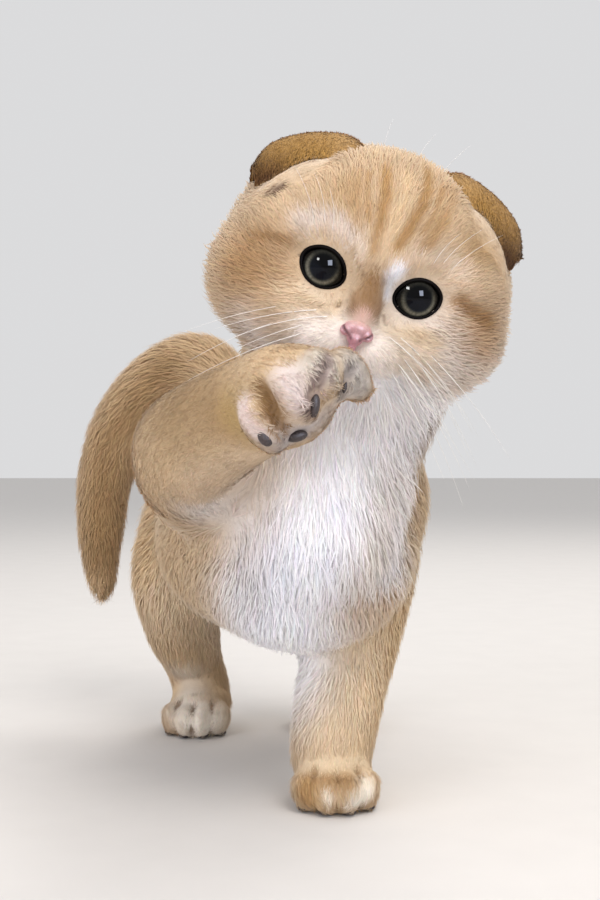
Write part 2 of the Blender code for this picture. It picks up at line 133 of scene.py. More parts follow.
def eye_spot(side):
    """The frame of an eye, with its gaze along -Y and its X along the opening of the lids."""
    turn, origin = HEAD[0] @ turn_about(2, GAZE_OUT * side), put((EYE_OUT * side, EYE_BACK, EYE_UP), HEAD)
    return turn @ turn_about(1, -FISSURE_TILT * side), origin


def on_side(path, side):
    """A path of the head's left side, or its mirror image on the right."""
    return [(x * side, y, z) for x, y, z, *_ in path]


# Surfaces


def shell(rings, first, last):
    """Rings (rows, sides, 3) joined in order into a tube, closed at each end by a fan to one point."""
    rows, sides = rings.shape[:2]
    here = np.arange(rows - 1)[:, None] * sides + np.arange(sides)
    after = np.arange(rows - 1)[:, None] * sides + (np.arange(sides) + 1) % sides
    start, around = rows * sides, np.arange(sides)
    beside = (around + 1) % sides
    faces = [
        np.stack([here, after, after + sides], -1).reshape(-1, 3),
        np.stack([here, after + sides, here + sides], -1).reshape(-1, 3),
        np.stack([np.full(sides, start), beside, around], -1),
        np.stack([np.full(sides, start + 1), around + (rows - 1) * sides, beside + (rows - 1) * sides], -1),
    ]
    return np.vstack([rings.reshape(-1, 3), [first], [last]]), np.vstack(faces)


def hoop(rings):
    """Rings (rows, sides, 3) joined in order, and the last to the first."""
    rows, sides = rings.shape[:2]
    row, side = np.meshgrid(np.arange(rows), np.arange(sides), indexing="ij")
    a, b = row * sides + side, row * sides + (side + 1) % sides
    c, d = (row + 1) % rows * sides + (side + 1) % sides, (row + 1) % rows * sides + side
    return rings.reshape(-1, 3), np.vstack([np.stack(t, -1).reshape(-1, 3) for t in ((a, b, c), (a, c, d))])


def joined(shells):
    """Several surfaces as one: their points in order, and their faces numbered to match."""
    starts = np.cumsum([0] + [len(points) for points, _ in shells[:-1]])
    return np.vstack([p for p, _ in shells]), np.vstack([f + s for (_, f), s in zip(shells, starts)])


def outward(surface):
    """The same closed surface with its faces turned outwards.

    The sign of its volume, the sum of a . (b x c) over its triangles, says which way they face."""
    points, faces = surface
    a, b, c = (points[faces[:, k]] - points.mean(0) for k in range(3))
    return points, faces if (a * np.cross(b, c)).sum() > 0 else faces[:, ::-1]


def oval(centre, radii, spot=GROUND, around=36):
    """An ellipsoid: radii times (cos lat cos lon, cos lat sin lon, sin lat), about a centre, in a frame."""
    lat = np.linspace(-90, 90, around // 2 + 1)[1:-1, None] * math.pi / 180
    lon = angles(around)
    grid = (np.cos(lat) * np.cos(lon), np.cos(lat) * np.sin(lon), np.sin(lat))
    grid = np.stack(np.broadcast_arrays(*grid), -1)
    radii, centre = np.array(radii, float), np.array(centre, float)
    ends = [put(centre + radii * (0, 0, way), spot) for way in (-1, 1)]
    return shell(put(grid * radii + centre, spot), *ends)


def curve(stations, steps):
    """Points and radii of a smooth cubic curve through the stations, with steps between each two.

    Its slope at a station is half the way from the station before to the one after."""
    rows = np.array([[*centre, *np.broadcast_to(radius, 2)] for centre, radius in stations], float)
    rows = np.vstack([2 * rows[0] - rows[1], rows, 2 * rows[-1] - rows[-2]])
    t = np.linspace(0, 1, steps, endpoint=False)[None, :, None]
    a, b, c, d = (rows[i : len(rows) - 3 + i, None] for i in range(4))
    run = b + 0.5 * t * (c - a) + t**2 * (a - 2.5 * b + 2 * c - 0.5 * d) + 0.5 * t**3 * (3 * (b - c) + d - a)
    return np.vstack([run.reshape(-1, rows.shape[1]), rows[-2]])


def limb(stations, up=(0, 0, 1), steps=5, sides=32, spot=GROUND):
    """Oval rings square to a smooth path, with the wide radius across it and the high one along up.

    The ends are domes: three rings whose radius falls as a cosine while they go out as its sine."""
    rows = curve(stations, steps)
    centres, radii = rows[:, :3], rows[:, 3:]
    ahead = unit(np.gradient(centres, axis=0))
    dome = np.radians([72, 48, 24])[:, None]
    first = centres[0] - ahead[0] * radii[0].mean() * np.sin(dome)
    last = centres[-1] + ahead[-1] * radii[-1].mean() * np.sin(dome[::-1])
    tips = centres[0] - ahead[0] * radii[0].mean(), centres[-1] + ahead[-1] * radii[-1].mean()
    centres = np.vstack([first, centres, last])
    radii = np.vstack([radii[0] * np.cos(dome), radii, radii[-1] * np.cos(dome[::-1])])
    ahead = np.vstack([ahead[:1].repeat(3, 0), ahead, ahead[-1:].repeat(3, 0)])
    across = unit(np.cross(ahead, up))
    above = np.cross(across, ahead)
    angle = angles(sides)[None, :, None]
    rings = centres[:, None] + radii[:, None, :1] * np.cos(angle) * across[:, None]
    rings = rings + radii[:, None, 1:] * np.sin(angle) * above[:, None]
    return shell(put(rings, spot)[:, ::-1], *(put(tip, spot) for tip in tips))


def pointed(path, radii, sides=5):
    """A hair or whisker: rings of given radii square to a path (rows, 3), closed to a point at its tip."""
    ahead = unit(np.gradient(path, axis=0))
    across = unit(np.cross(ahead, (0.3, 0.5, 0.81)))
    above = np.cross(across, ahead)
    angle = angles(sides)[None, :, None]
    round_it = np.cos(angle) * across[:, None] + np.sin(angle) * above[:, None]
    rings = path[:, None] + radii[:, None, None] * round_it
    return shell(rings[:-1, ::-1], path[0] - ahead[0] * radii[0] * 0.5, path[-1])


def fill(rows, field, values, kind=np.float32):
    """Writes an array into a field of the rows of a mesh."""
    rows.foreach_set(field, np.asarray(values).astype(kind).ravel())


def new_mesh(name, points, faces):
    """A mesh in metres, in the frame of the solids, from points in mm and faces of three or four corners."""
    mesh = bpy.data.meshes.new(name)
    mesh.vertices.add(len(points))
    fill(mesh.vertices, "co", (points + SHIFT) * MM)
    mesh.loops.add(faces.size)
    fill(mesh.loops, "vertex_index", faces, np.int32)
    mesh.polygons.add(len(faces))
    fill(mesh.polygons, "loop_start", np.arange(0, faces.size, faces.shape[1]), np.int32)
    mesh.update(calc_edges=True)
    return mesh


def placed(name, data):
    """A new object of the scene round a mesh, a lamp or a lens."""
    made = bpy.data.objects.new(name, data)
    bpy.context.scene.collection.objects.link(made)
    return made


def piece(name, surface, look, stands_for=(), tone=None, patch=None, leaning=None):
    """Puts a finished surface into the scene: its look, the body it rides on, what it stands for.

    tone is a linear colour for each point, patch the OFBake coordinates of each point, and leaning the
    direction that each point faces for the light."""
    points, faces = surface
    mesh = new_mesh(name, points, faces)
    mesh.shade_smooth()
    if tone is not None:
        colours = np.column_stack([tone, np.ones(len(points))])
        fill(mesh.attributes.new("tone", "FLOAT_COLOR", "POINT").data, "color", colours)
    if patch is not None:
        fill(mesh.uv_layers.new(name="OFBake").data, "uv", patch[faces.ravel()])
    if leaning is not None:
        fill(mesh.attributes.new("custom_normal", "FLOAT_VECTOR", "POINT").data, "vector", leaning)
    mesh.materials.append(look)
    made = placed(name, mesh)
    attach(made, "root")
    if stands_for:
        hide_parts(*stands_for)
    return made


def fused(surface, voxel):
    """One closed surface of quads round all the shells, on a grid of voxels. Returns points, quads, edges."""
    part = placed("fusing", new_mesh("fusing", *surface))
    join = part.modifiers.new("fuse", "REMESH")
    join.mode, join.voxel_size = "VOXEL", voxel * MM
    bpy.context.view_layer.update()
    mesh = bpy.data.meshes.new_from_object(part.evaluated_get(bpy.context.evaluated_depsgraph_get()))
    points = np.empty(len(mesh.vertices) * 3)
    mesh.vertices.foreach_get("co", points)
    faces = np.empty(len(mesh.polygons) * 4, int)
    mesh.loops.foreach_get("vertex_index", faces)
    edges = np.empty(len(mesh.edges) * 2, int)
    mesh.edges.foreach_get("vertices", edges)
    bpy.data.objects.remove(part)
    bpy.data.meshes.remove(mesh)
    return points.reshape(-1, 3) * 1000 - SHIFT, faces.reshape(-1, 4), edges.reshape(-1, 2)


def relaxed(points, edges, share, rounds):
    """Each point moves by a share of the way to the mean of its neighbours, round after round."""
    a, b = edges.T
    here, there = np.r_[a, b], np.r_[b, a]
    many = np.bincount(here, minlength=len(points))[:, None]
    share = np.broadcast_to(share, len(points))[:, None]
    for _ in range(rounds):
        mean = np.stack([np.bincount(here, points[there, k], len(points)) for k in range(3)], 1)
        points = points + share * (mean / many - points)
    return points


def facing(points, faces):
    """The outward direction at each point: the sum of the normals of its faces, each by its area."""
    corners = points[faces]
    flat = np.cross(corners[:, 2] - corners[:, 0], corners[:, -1] - corners[:, 1])
    spread = np.repeat(flat, faces.shape[1], axis=0)
    return unit(np.stack([np.bincount(faces.ravel(), spread[:, k], len(points)) for k in range(3)], 1))


def gap_to(points, path):
    """The distance of each point from a broken line through the path's points."""
    path = np.atleast_2d(np.asarray(path, float))
    if len(path) == 1:
        return np.linalg.norm(points - path[0], axis=1)
    nearest = np.full(len(points), 1e9)
    for a, b in zip(path, path[1:]):
        t = np.clip((points - a) @ (b - a) / ((b - a) @ (b - a)), 0, 1)
        nearest = np.minimum(nearest, np.linalg.norm(points - a - t[:, None] * (b - a), axis=1))
    return nearest


# Forms of the body, as the solids have them

TRUNK = [
    ((4, -12, 75), (23, 24)),
    ((3, -4, 71), (29, 29)),
    ((0, 10, 69), (32, 30)),
    ((-5, 29, 69), (32.5, 29.5)),
    ((-10, 51, 67), (34, 29)),
    ((-15, 73, 68), (32, 28.5)),
    ((-19, 92, 70), (27, 26)),
    ((-22, 106, 73), (19, 19)),
]
NECK = [((2, 14, 86), 27), ((8, 1, 104), 27.5), ((14, -10, 122), 29)]
TAIL = [
    ((-21, 100, 84), 12),
    ((-23, 110, 107), 12.6),
    ((-34, 113, 123.5), 12.8),
    ((-48, 113, 120), 12.6),
    ((-61, 111, 106), 11.9),
    ((-68, 109, 87), 10.6),
    ((-70, 108, 66), 8.9),
    ((-69.5, 108, 48), 6.0),
]
RAISED_ARM = [
    ((-8, 27, 84), 18),
    ((-18, 9, 86), 19.5),
    ((-25, -9, 90), 18),
    ((-26.5, -27, 95), 16),
    ((-19, -46, 100), 13.8),
    ((-9, -65, 104.5), 12),
    ((-3, -79, 106), 11.5),
]
FORELEG = [
    ((17, 12, 82), 18.5),
    ((17, 16, 64), 17),
    ((15.5, 17, 47), 14.6),
    ((11.5, 12, 30), 13.3),
    ((8.8, 8, 15), 12.2),
    ((8.6, 6, 9), 11),
]


def hind_leg(hip, foot, side):
    """Thigh, knee, hock and instep from the hip to the middle of the sole."""
    return [
        (hip, (19, 22)),
        ((hip[0] + 5 * side, hip[1] - 12, hip[2] - 16), (16, 18.5)),
        ((foot[0] + 5 * side, foot[1] - 10, foot[2] + 36), 13.5),
        ((foot[0] + 3 * side, foot[1] + 3, foot[2] + 24), 11),
        ((foot[0], foot[1] + 6, foot[2] + 13), 10.4),
        ((foot[0], foot[1] + 2, foot[2] + 8.5), 9.6),
    ]


RIGHT_HIND = hind_leg((-35, 91, 70), (-34, 95, 0), -1)
LEFT_HIND = hind_leg((-6, 93, 70), (9, 98, 0), 1)
EAR_LIP = [  # place and radius, in mm, where the fold of the left ear meets the head
    (17, -15, 20.8, 1.8), (20.6, -16.4, 18.8, 2.4), (24.6, -17.2, 15.6, 2.5), (28.4, -16.6, 11.4, 2.4),
    (31.2, -14.4, 7.2, 2.1), (32.6, -10.6, 3.4, 1.6),
]
MOUTH = [(0, -33.2, -23.4), (3.6, -34.2, -25.3), (7.6, -32, -25.2), (11.8, -27.4, -23.8)]
PHILTRUM = [(0, -36.2, -19), (0, -35.2, -21), (0, -33.8, -23.6)]


def both(point):
    """A place of the head and its mirror image."""
    return point, (-point[0], *point[1:])


def toe(spot, size):
    """A toe and the pad under it."""
    return [oval((0, 0, 0), size, spot, 28), oval((0, -1.6, -3.9), (size[0] * 0.8, 3.6, 2.8), spot, 24)]


def standing_paw(sole, wide, long):
    """Palm, four toes and the pads under them, toes towards -Y."""
    share = wide / PAW_WIDE
    made = [
        oval((0, 2, PAW_HIGH), (wide - 1.2, long, PAW_HIGH - 0.6), sole),
        oval((0, 1.5, 2.6), (7.6 * share, 6.2, 3.6), sole),
    ]
    for across, ahead, splay in TOES:
        spot = within(sole, (across * share, ahead * long / PAW_LONG, 5.9), 10, 0, -splay)
        made += toe(spot, (4.1 * share, 7, 5.6))
    return made


EAR_OPENING = 3  # its row in clefts()


def clefts():
    """The grooves between the toes and the opening of the right ear: path, reach and depth in mm."""
    first = [(-7.6, -87, 107.6), (-6.7, -89.3, 105.5), (-5.5, -90.4, 103.1), (-4.5, -90.3, 100.7)]
    second = [(5, -89, 113), (4.7, -92.2, 111.3), (3.5, -92.4, 108.1), (2.3, -93.5, 104.9)]
    made = [
        (first + [(-4, -88, 98.6)], 1.3, 1.9),
        (second + [(1.6, -93.3, 101.6)], 1.2, 1.8),
        ([(10, -86, 111.5), (9.4, -88.6, 109.5), (8.9, -90.2, 107.1), (8.8, -88.6, 104.6)], 1.1, 1.6),
        (put([(-25.9, -19.1, 11.5), (-27.2, -18.5, 10.1)], HEAD), 0.8, 1.8),
    ]
    for sole, share, long in PAWS:
        for across in (-5.7, 0, 5.7):
            front = -15.0 if across else -17.5
            down = ((6, 11), (2, 8.6), (0, 4.6), (1, 0.5))  # back from the front, and height
            path = np.array([(across, front + back, high) for back, high in down])
            made.append((put(path * (share, long / PAW_LONG, 1), sole), 0.9, 0.8))
    return made


def body_shells():
    """Trunk, neck, tail, legs and paws, with the masses of the shoulders, chest and palm."""
    made = [
        limb(TRUNK),
        limb(NECK, up=(0, 1, 0.2)),
        limb(TAIL, up=(0, 1, 0)),
        limb(RAISED_ARM),
        limb(FORELEG, up=(0, 1, 0)),
        limb(RIGHT_HIND, up=(0, 1, 0)),
        limb(LEFT_HIND, up=(0, 1, 0)),
        oval((20, 12, 82), (16, 24, 23)),
        oval((-15, 17, 82), (21, 27, 24)),
        oval((4, -12, 88), (26, 18, 28)),
        oval((2, 20, 90), (22, 27, 19)),
        oval((0, 6, 1.5), (10.6, 11.5, 8.2), RAISED),
        oval((0.5, 1, -5), (7.2, 5.6, 3.8), RAISED),
    ]
    for spot, size in RAISED_TOES:
        made += toe(spot, np.array(size) + 0.5)
    for (sole, _, long), wide in zip(PAWS, PAW_WIDTHS):
        made += standing_paw(sole, wide, long)
    return made


def head_shells():
    """Skull, brow, cheeks, muzzle, sockets and the lips of the ears, then chin, throat and bridge."""
    made = [oval((0, 3, 0.5), (35.5, 33, 30), HEAD), oval((0, -9, 8), (27, 20.5, 21.5), HEAD)]
    for side in SIDES:
        for (x, y, z), radii in (
            ((19, -4, -9), (20.5, 23, 18.5)),
            ((19.5, -1, 1), (17.8, 26, 19)),
            ((13.5, -17.5, -14.5), (15, 12.5, 11)),
            ((6.2, -26.4, -18.4), (8.4, 8.6, 6.7)),
            ((EYE_OUT, EYE_BACK, EYE_UP), (8.5, 8.5, 8.5)),
        ):
            made.append(oval((x * side, y, z), radii, HEAD))
        made.append(limb([((x * side, y, z), thick) for x, y, z, thick in EAR_LIP], spot=HEAD, sides=16))
    made += [oval((0, -23, -25.4), (7.4, 8, 6), HEAD), oval((0, -10, -18), (22, 19, 13), HEAD)]
    made.append(limb([((0, -20.8, 8), 8.2), ((0, -25.4, -3), 5.2), ((0, -31, -12), 4.4)], spot=HEAD))
    return made


# How the coat lies: one table for all

FACE, CROWN, CHEST, BACK, TAIL_COAT, ARM_COAT, LEG_COAT, RIGHT_COAT, LEFT_COAT = range(9)
LIMBS = ("tail", "right_foreleg", "left_foreleg", "right_hind_leg", "left_hind_leg")
REGIONS = ("face", "crown", "chest", "torso", *LIMBS)


def head_lie():
    """The rows of the head: in its frame place, reach, length, width, lift and region.

    Here the coat leaves the nose, but along the lips of the ears it runs as they do."""
    rows = [
        ((0, -33, -8), 5, 1.2, 0.20, 11, FACE),
        ((0, -30, -1), 7, 1.8, 0.22, 12, FACE),
        ((0, -28, -26), 8, 2.6, 0.22, 13, FACE),
        ((0, -24, 16), 10, 3.1, 0.22, 12, FACE),
        ((0, -6, 28), 14, 4.8, 0.24, 25, CROWN),
        ((0, 30, 6), 18, 5.4, 0.31, 13, CROWN),
        ((0, 0, -28), 16, 6.3, 0.31, 14, CROWN),
    ]
    pairs = [
        ((7, -33, -17), 7, 1.7, 0.22, 14, FACE),
        ((11, -28, 5), 8, 2.5, 0.24, 14, FACE),
        ((22, -24, 2), 8, 2.6, 0.22, 11, FACE),
        ((14, -28, -11), 7, 2.0, 0.24, 13, FACE),
        ((27, -20, -10), 11, 3.6, 0.25, 13, FACE),
        ((22, -16, -22), 11, 5.2, 0.27, 19, FACE),
        ((30, -6, -14), 12, 6.0, 0.28, 21, CROWN),
        ((18, -6, 25), 9, 3.0, 0.24, 14, CROWN),
        ((33, 4, 2), 14, 4.6, 0.28, 15, CROWN),
        ((33.5, -7, 3), 7, 5.6, 0.28, 26, CROWN),
        ((20, 26, 0), 16, 5.4, 0.31, 13, CROWN),
    ]
    rows += [(at, *row[1:]) for row in pairs for at in both(row[0])]
    rows = [(put(at, HEAD), reach, (0, 0, 0), 1.0, *rest) for at, reach, *rest in rows]
    for side in SIDES:
        lip = np.array(on_side(EAR_LIP, side))
        for at, way in zip(put(lip, HEAD), unit(np.gradient(lip, axis=0)) @ HEAD[0].T):
            rows.append((at, 3.6, way, 0.0, 1.8, 0.20, 7, CROWN))
        by_ear, outwards = put((12 * side, -3, 27), HEAD), HEAD[0] @ (0.8 * side, -0.1, 0.5)
        rows.append((by_ear, 4.5, outwards, 0.2, 4.8, 0.26, 22, CROWN))
    return rows


def limb_lie(stations, lengths, widths, lift, region):
    """Along a limb the coat lies the way its path runs, and its length and width change evenly."""
    centres = np.array([centre for centre, _ in stations], float)
    ways = unit(np.gradient(centres, axis=0))
    reach = [np.mean(radius) * 1.05 for _, radius in stations]
    share = np.linspace(0, 1, len(stations))
    return [
        (at, far, way, 0.0, np.interp(t, (0, 1), lengths), np.interp(t, (0, 1), widths), lift, region)
        for at, far, way, t in zip(centres, reach, ways, share)
    ]


def lie_table():
    """Rows of place, reach, the way the coat lies, how much it leaves the nose, length, width, lift, region.

    Sizes are in mm, and the lift is in degrees."""
    rows = head_lie()
    rows += limb_lie(TAIL, (6.6, 5.6), (0.32, 0.30), 13, TAIL_COAT)
    rows += limb_lie(RAISED_ARM, (5.5, 2.6), (0.30, 0.23), 6, ARM_COAT)
    rows += limb_lie(FORELEG, (5.4, 3.2), (0.31, 0.26), 13, LEG_COAT)
    rows += limb_lie(RIGHT_HIND, (6, 3.2), (0.32, 0.26), 10, RIGHT_COAT)
    rows += limb_lie(LEFT_HIND, (6, 3.2), (0.32, 0.26), 10, LEFT_COAT)
    for spot, region in ((FORE_SOLE, LEG_COAT), (RIGHT_HIND_SOLE, RIGHT_COAT), (LEFT_HIND_SOLE, LEFT_COAT)):
        rows.append((put((0, -8, 6), spot), 11, spot[0] @ (0, -1, -0.5), 0.0, 2.6, 0.24, 7, region))
    rows.append((put((0, -3, 1), RAISED), 13, RAISED[0] @ (0, -1, -0.3), 0.0, 2.2, 0.23, 8, ARM_COAT))
    for (x, y, z), (wide, high) in TRUNK[1:]:
        for side in SIDES:
            rows.append(((x + side * wide, y, z), 17, (side * 0.1, 0.85, -0.6), 0.0, 6.8, 0.34, 12, BACK))
        rows.append(((x, y, z + high), 17, (0, 1, -0.15), 0.0, 6.2, 0.34, 11, BACK))
        rows.append(((x, y, z - high), 17, (0, 0.75, -0.45), 0.0, 6.4, 0.34, 12, BACK))
    rows += [
        ((6, -30, 96), 15, (0, -0.05, -1), 0.25, 7.4, 0.31, 10, CHEST),
        ((4, -32, 80), 14, (0, 0.05, -1), 0.0, 7.8, 0.31, 9, CHEST),
        ((0, -24, 62), 14, (0, 0.25, -1), 0.0, 7.4, 0.31, 10, CHEST),
        ((-14, -14, 62), 13, (-0.2, 0.3, -1), 0.0, 7.2, 0.31, 11, CHEST),
        ((24, -14, 66), 13, (0.3, 0.3, -1), 0.0, 7.2, 0.31, 15, CHEST),
        ((33, -8, 96), 14, (0.35, 0.5, -1), 0.2, 7.8, 0.31, 19, CHEST),
        ((-18, -6, 108), 14, (-0.3, 0.6, -0.8), 0.2, 7.4, 0.31, 12, CHEST),
        ((8, 26, 112), 16, (0, 1, -0.7), 0.1, 6.8, 0.34, 12, BACK),
        ((30, 16, 100), 15, (0.2, 0.8, -0.9), 0.0, 7.2, 0.34, 13, BACK),
    ]
    return rows


CLEFTS = clefts()
LIE = lie_table()
LIE_AT = np.array([row[0] for row in LIE])
LIE_REACH = np.array([row[1] for row in LIE])
LIE_WAY = unit(np.array([row[2] for row in LIE], float))
LIE_NUMBERS = np.array([row[3:7] for row in LIE])  # from the nose, length, width, lift
LIE_REGION = np.array([row[7] for row in LIE])


def coat_at(points):
    """How the coat lies at points: each row of the table counts by exp(-(distance / reach)^2).

    Returns the way it lies, its length, width, lift and region. Hair near an eye turns away from it."""
    apart = ((points**2).sum(1)[:, None] - 2 * points @ LIE_AT.T + (LIE_AT**2).sum(1)) / LIE_REACH**2
    near = np.exp(apart.min(1, keepdims=True) - apart)
    near /= near.sum(1, keepdims=True)
    numbers = near @ LIE_NUMBERS
    way = near @ LIE_WAY + numbers[:, :1] * unit(points - NOSE_TIP)
    for side in SIDES:
        spot = eye_spot(side)
        local = seen_in(points, spot)
        beside = (1 - rise(almond(local), 1.2, 2.6)) * (local[:, 1] < 0)
        way = way + 1.6 * beside[:, None] * unit(points - spot[1] - np.outer(local[:, 1], spot[0][:, 1]))
    region = np.stack([near[:, LIE_REGION == k].sum(1) for k in range(len(REGIONS))], 1).argmax(1)
    return unit(way), numbers[:, 1], numbers[:, 2], numbers[:, 3], region


def almond(local):
    """How far out a point is in the frame of an eye, looked at along its gaze: 1 on the edge of the lids.

    The edge is an ellipse of 5.1 by 4.35 mm with 8 % more at the corners. Beyond 14 mm from the middle of the
    eye, 4 is added for each 14 mm."""
    x, z = local[:, 0] / FISSURE_WIDE, local[:, 2] / FISSURE_HIGH
    out = np.hypot(x, z)
    far = 4 * np.maximum(0, np.linalg.norm(local, axis=1) / 14 - 1)
    return out / (1 + LID_CORNER * (np.abs(x) / np.maximum(out, 1e-6)) ** 6) + far


def on_eye(flat, radius):
    """Points in front of the middle of an eye, at a distance from it, where X and Z are given."""
    depth = np.sqrt(np.maximum(radius**2 - (flat**2).sum(1), 1.0))
    return np.column_stack([flat[:, 0], -depth, flat[:, 1]])


# Markings: one table for skin and coat


def srgb(code):
    """Linear red, green and blue of an sRGB hex value."""
    value = np.array([int(code[i : i + 2], 16) for i in (1, 3, 5)]) / 255
    return np.where(value <= 0.04045, value / 12.92, ((value + 0.055) / 1.055) ** 2.4)


def laid(made, share, code):
    """A colour laid over those of the points, by a share for each."""
    return made + share[:, None] * (srgb(code) - made)


# path, reach in mm, colour, strength; each is laid over those before it
BODY_MARKS = [
    ([(0, 0, 108), (-5, 40, 100), (-15, 80, 98), (-21, 104, 92)], 17, "#9d7f57", 0.7),
    ([(-30, 20, 60), (-40, 60, 60), (-44, 84, 62)], 16, "#c6a981", 0.75),
    ([(33, 10, 70), (26, 50, 62), (18, 84, 60)], 16, "#bba583", 0.6),
    ([(-5, -8, 38), (-6, 30, 36), (-12, 72, 38)], 17, "#ded8d2", 0.95),
    ([(26, -28, 112), (12, -34, 96), (4, -34, 76), (-6, -24, 56), (-4, -6, 42)], 19, "#f5f5fb", 1.0),
    ([(33, -22, 104), (30, -22, 86), (24, -18, 66)], 11, "#e9e6e8", 0.9),
    ([(-22, -28, 76), (-16, -22, 60)], 9, "#dcd8d8", 0.8),
    # painted shadow under the chin, on the left side of the neck
    ([(36, -14, 99), (37, -6, 92)], 6, "#a2958c", 0.8),
    ([(-30, -16, 90), (-30, 0, 84), (-26, 20, 70)], 9, "#c3a27c", 0.7),
    ([(19, 0, 58), (17, 2, 30), (10, -2, 14)], 11, "#dec8a8", 0.85),
    ([(25, 10, 62), (24, 14, 40), (20, 10, 20)], 7, "#d3b68c", 0.7),
    ([(0, -16, 56), (14, -19, 58), (24, -12, 58)], 3.4, "#c6a988", 0.65),
    ([(8, -12, 12), (12, -11, 12)], 4.6, "#ac8654", 0.9),
    ([(1, -11, 6), (2, -10, 9)], 3.6, "#b38c58", 0.85),
    ([(6.6, -17, 4), (6.6, -15.5, 7)], 2.3, "#eee5d8", 0.95),
    ([(13, -17, 4), (16.5, -12, 5), (17.5, -9, 8)], 2.9, "#f1ebe0", 0.95),
    ([(-36, 80, 44), (-38, 82, 28)], 9, "#cdb086", 0.7),
    ([(-43, 60, 50), (-42, 74, 44)], 10, "#d8c3a6", 0.8),
    ([(-38, 82, 16), (-34, 76, 6), (-30, 79, 6)], 9, "#efe7db", 1.0),
    ([(6, 82, 6), (14, 83, 6)], 8, "#e2dacd", 0.9),
    # the tail's top and end: partly its own darker colour, partly painted shade
    ([(-44, 98, 124), (-66, 96, 100), (-70, 98, 60)], 9, "#8b6a40", 0.75),
    ([(-69, 100, 46), (-69, 106, 42)], 4, "#6d543a", 0.7),
    ([(-18, 12, 100), (-28, -27, 106), (-24, -48, 104), (-17, -58, 106)], 12, "#8f7149", 0.9),
    ([(-13, -70, 103)], 9, "#96754a", 0.85),
    ([(-24, -36, 83), (-23, -48, 86), (-11, -64, 92)], 7, "#ccb498", 0.85),
    ([(-12, -76, 103), (-12, -86, 101)], 6, "#a5874f", 0.8),
    ([(-12.1, -86, 103.6), (-11, -88, 100), (-8.3, -89.5, 97.6)], 2.9, "#dfcdc5", 1.0),
    ([(-6.2, -89.4, 102.6), (-5.6, -89.4, 104.6)], 2.4, "#7a5526", 0.95),
    ([(-2, -90, 109), (-1, -97, 106), (-1, -96, 103)], 4.2, "#d9cbc7", 1.0),
    ([(4, -90, 112), (5, -95, 111)], 4.4, "#cdc6bb", 0.95),
    ([(10.5, -84, 112), (12.5, -85, 108), (11.5, -87, 104)], 4.6, "#c3bcb6", 1.0),
    # painted shade in the grooves between the middle toes of the raised paw
    ([(2.4, -94, 108.6), (3, -93, 111)], 1.5, "#8d7a70", 0.7),
    ([(7.8, -92, 107), (7.6, -90, 110)], 1.2, "#8d7a70", 0.55),
    ([(-3, -87, 97), (4, -87, 98), (9, -85, 100)], 5.0, "#b8aeab", 1.0),
]
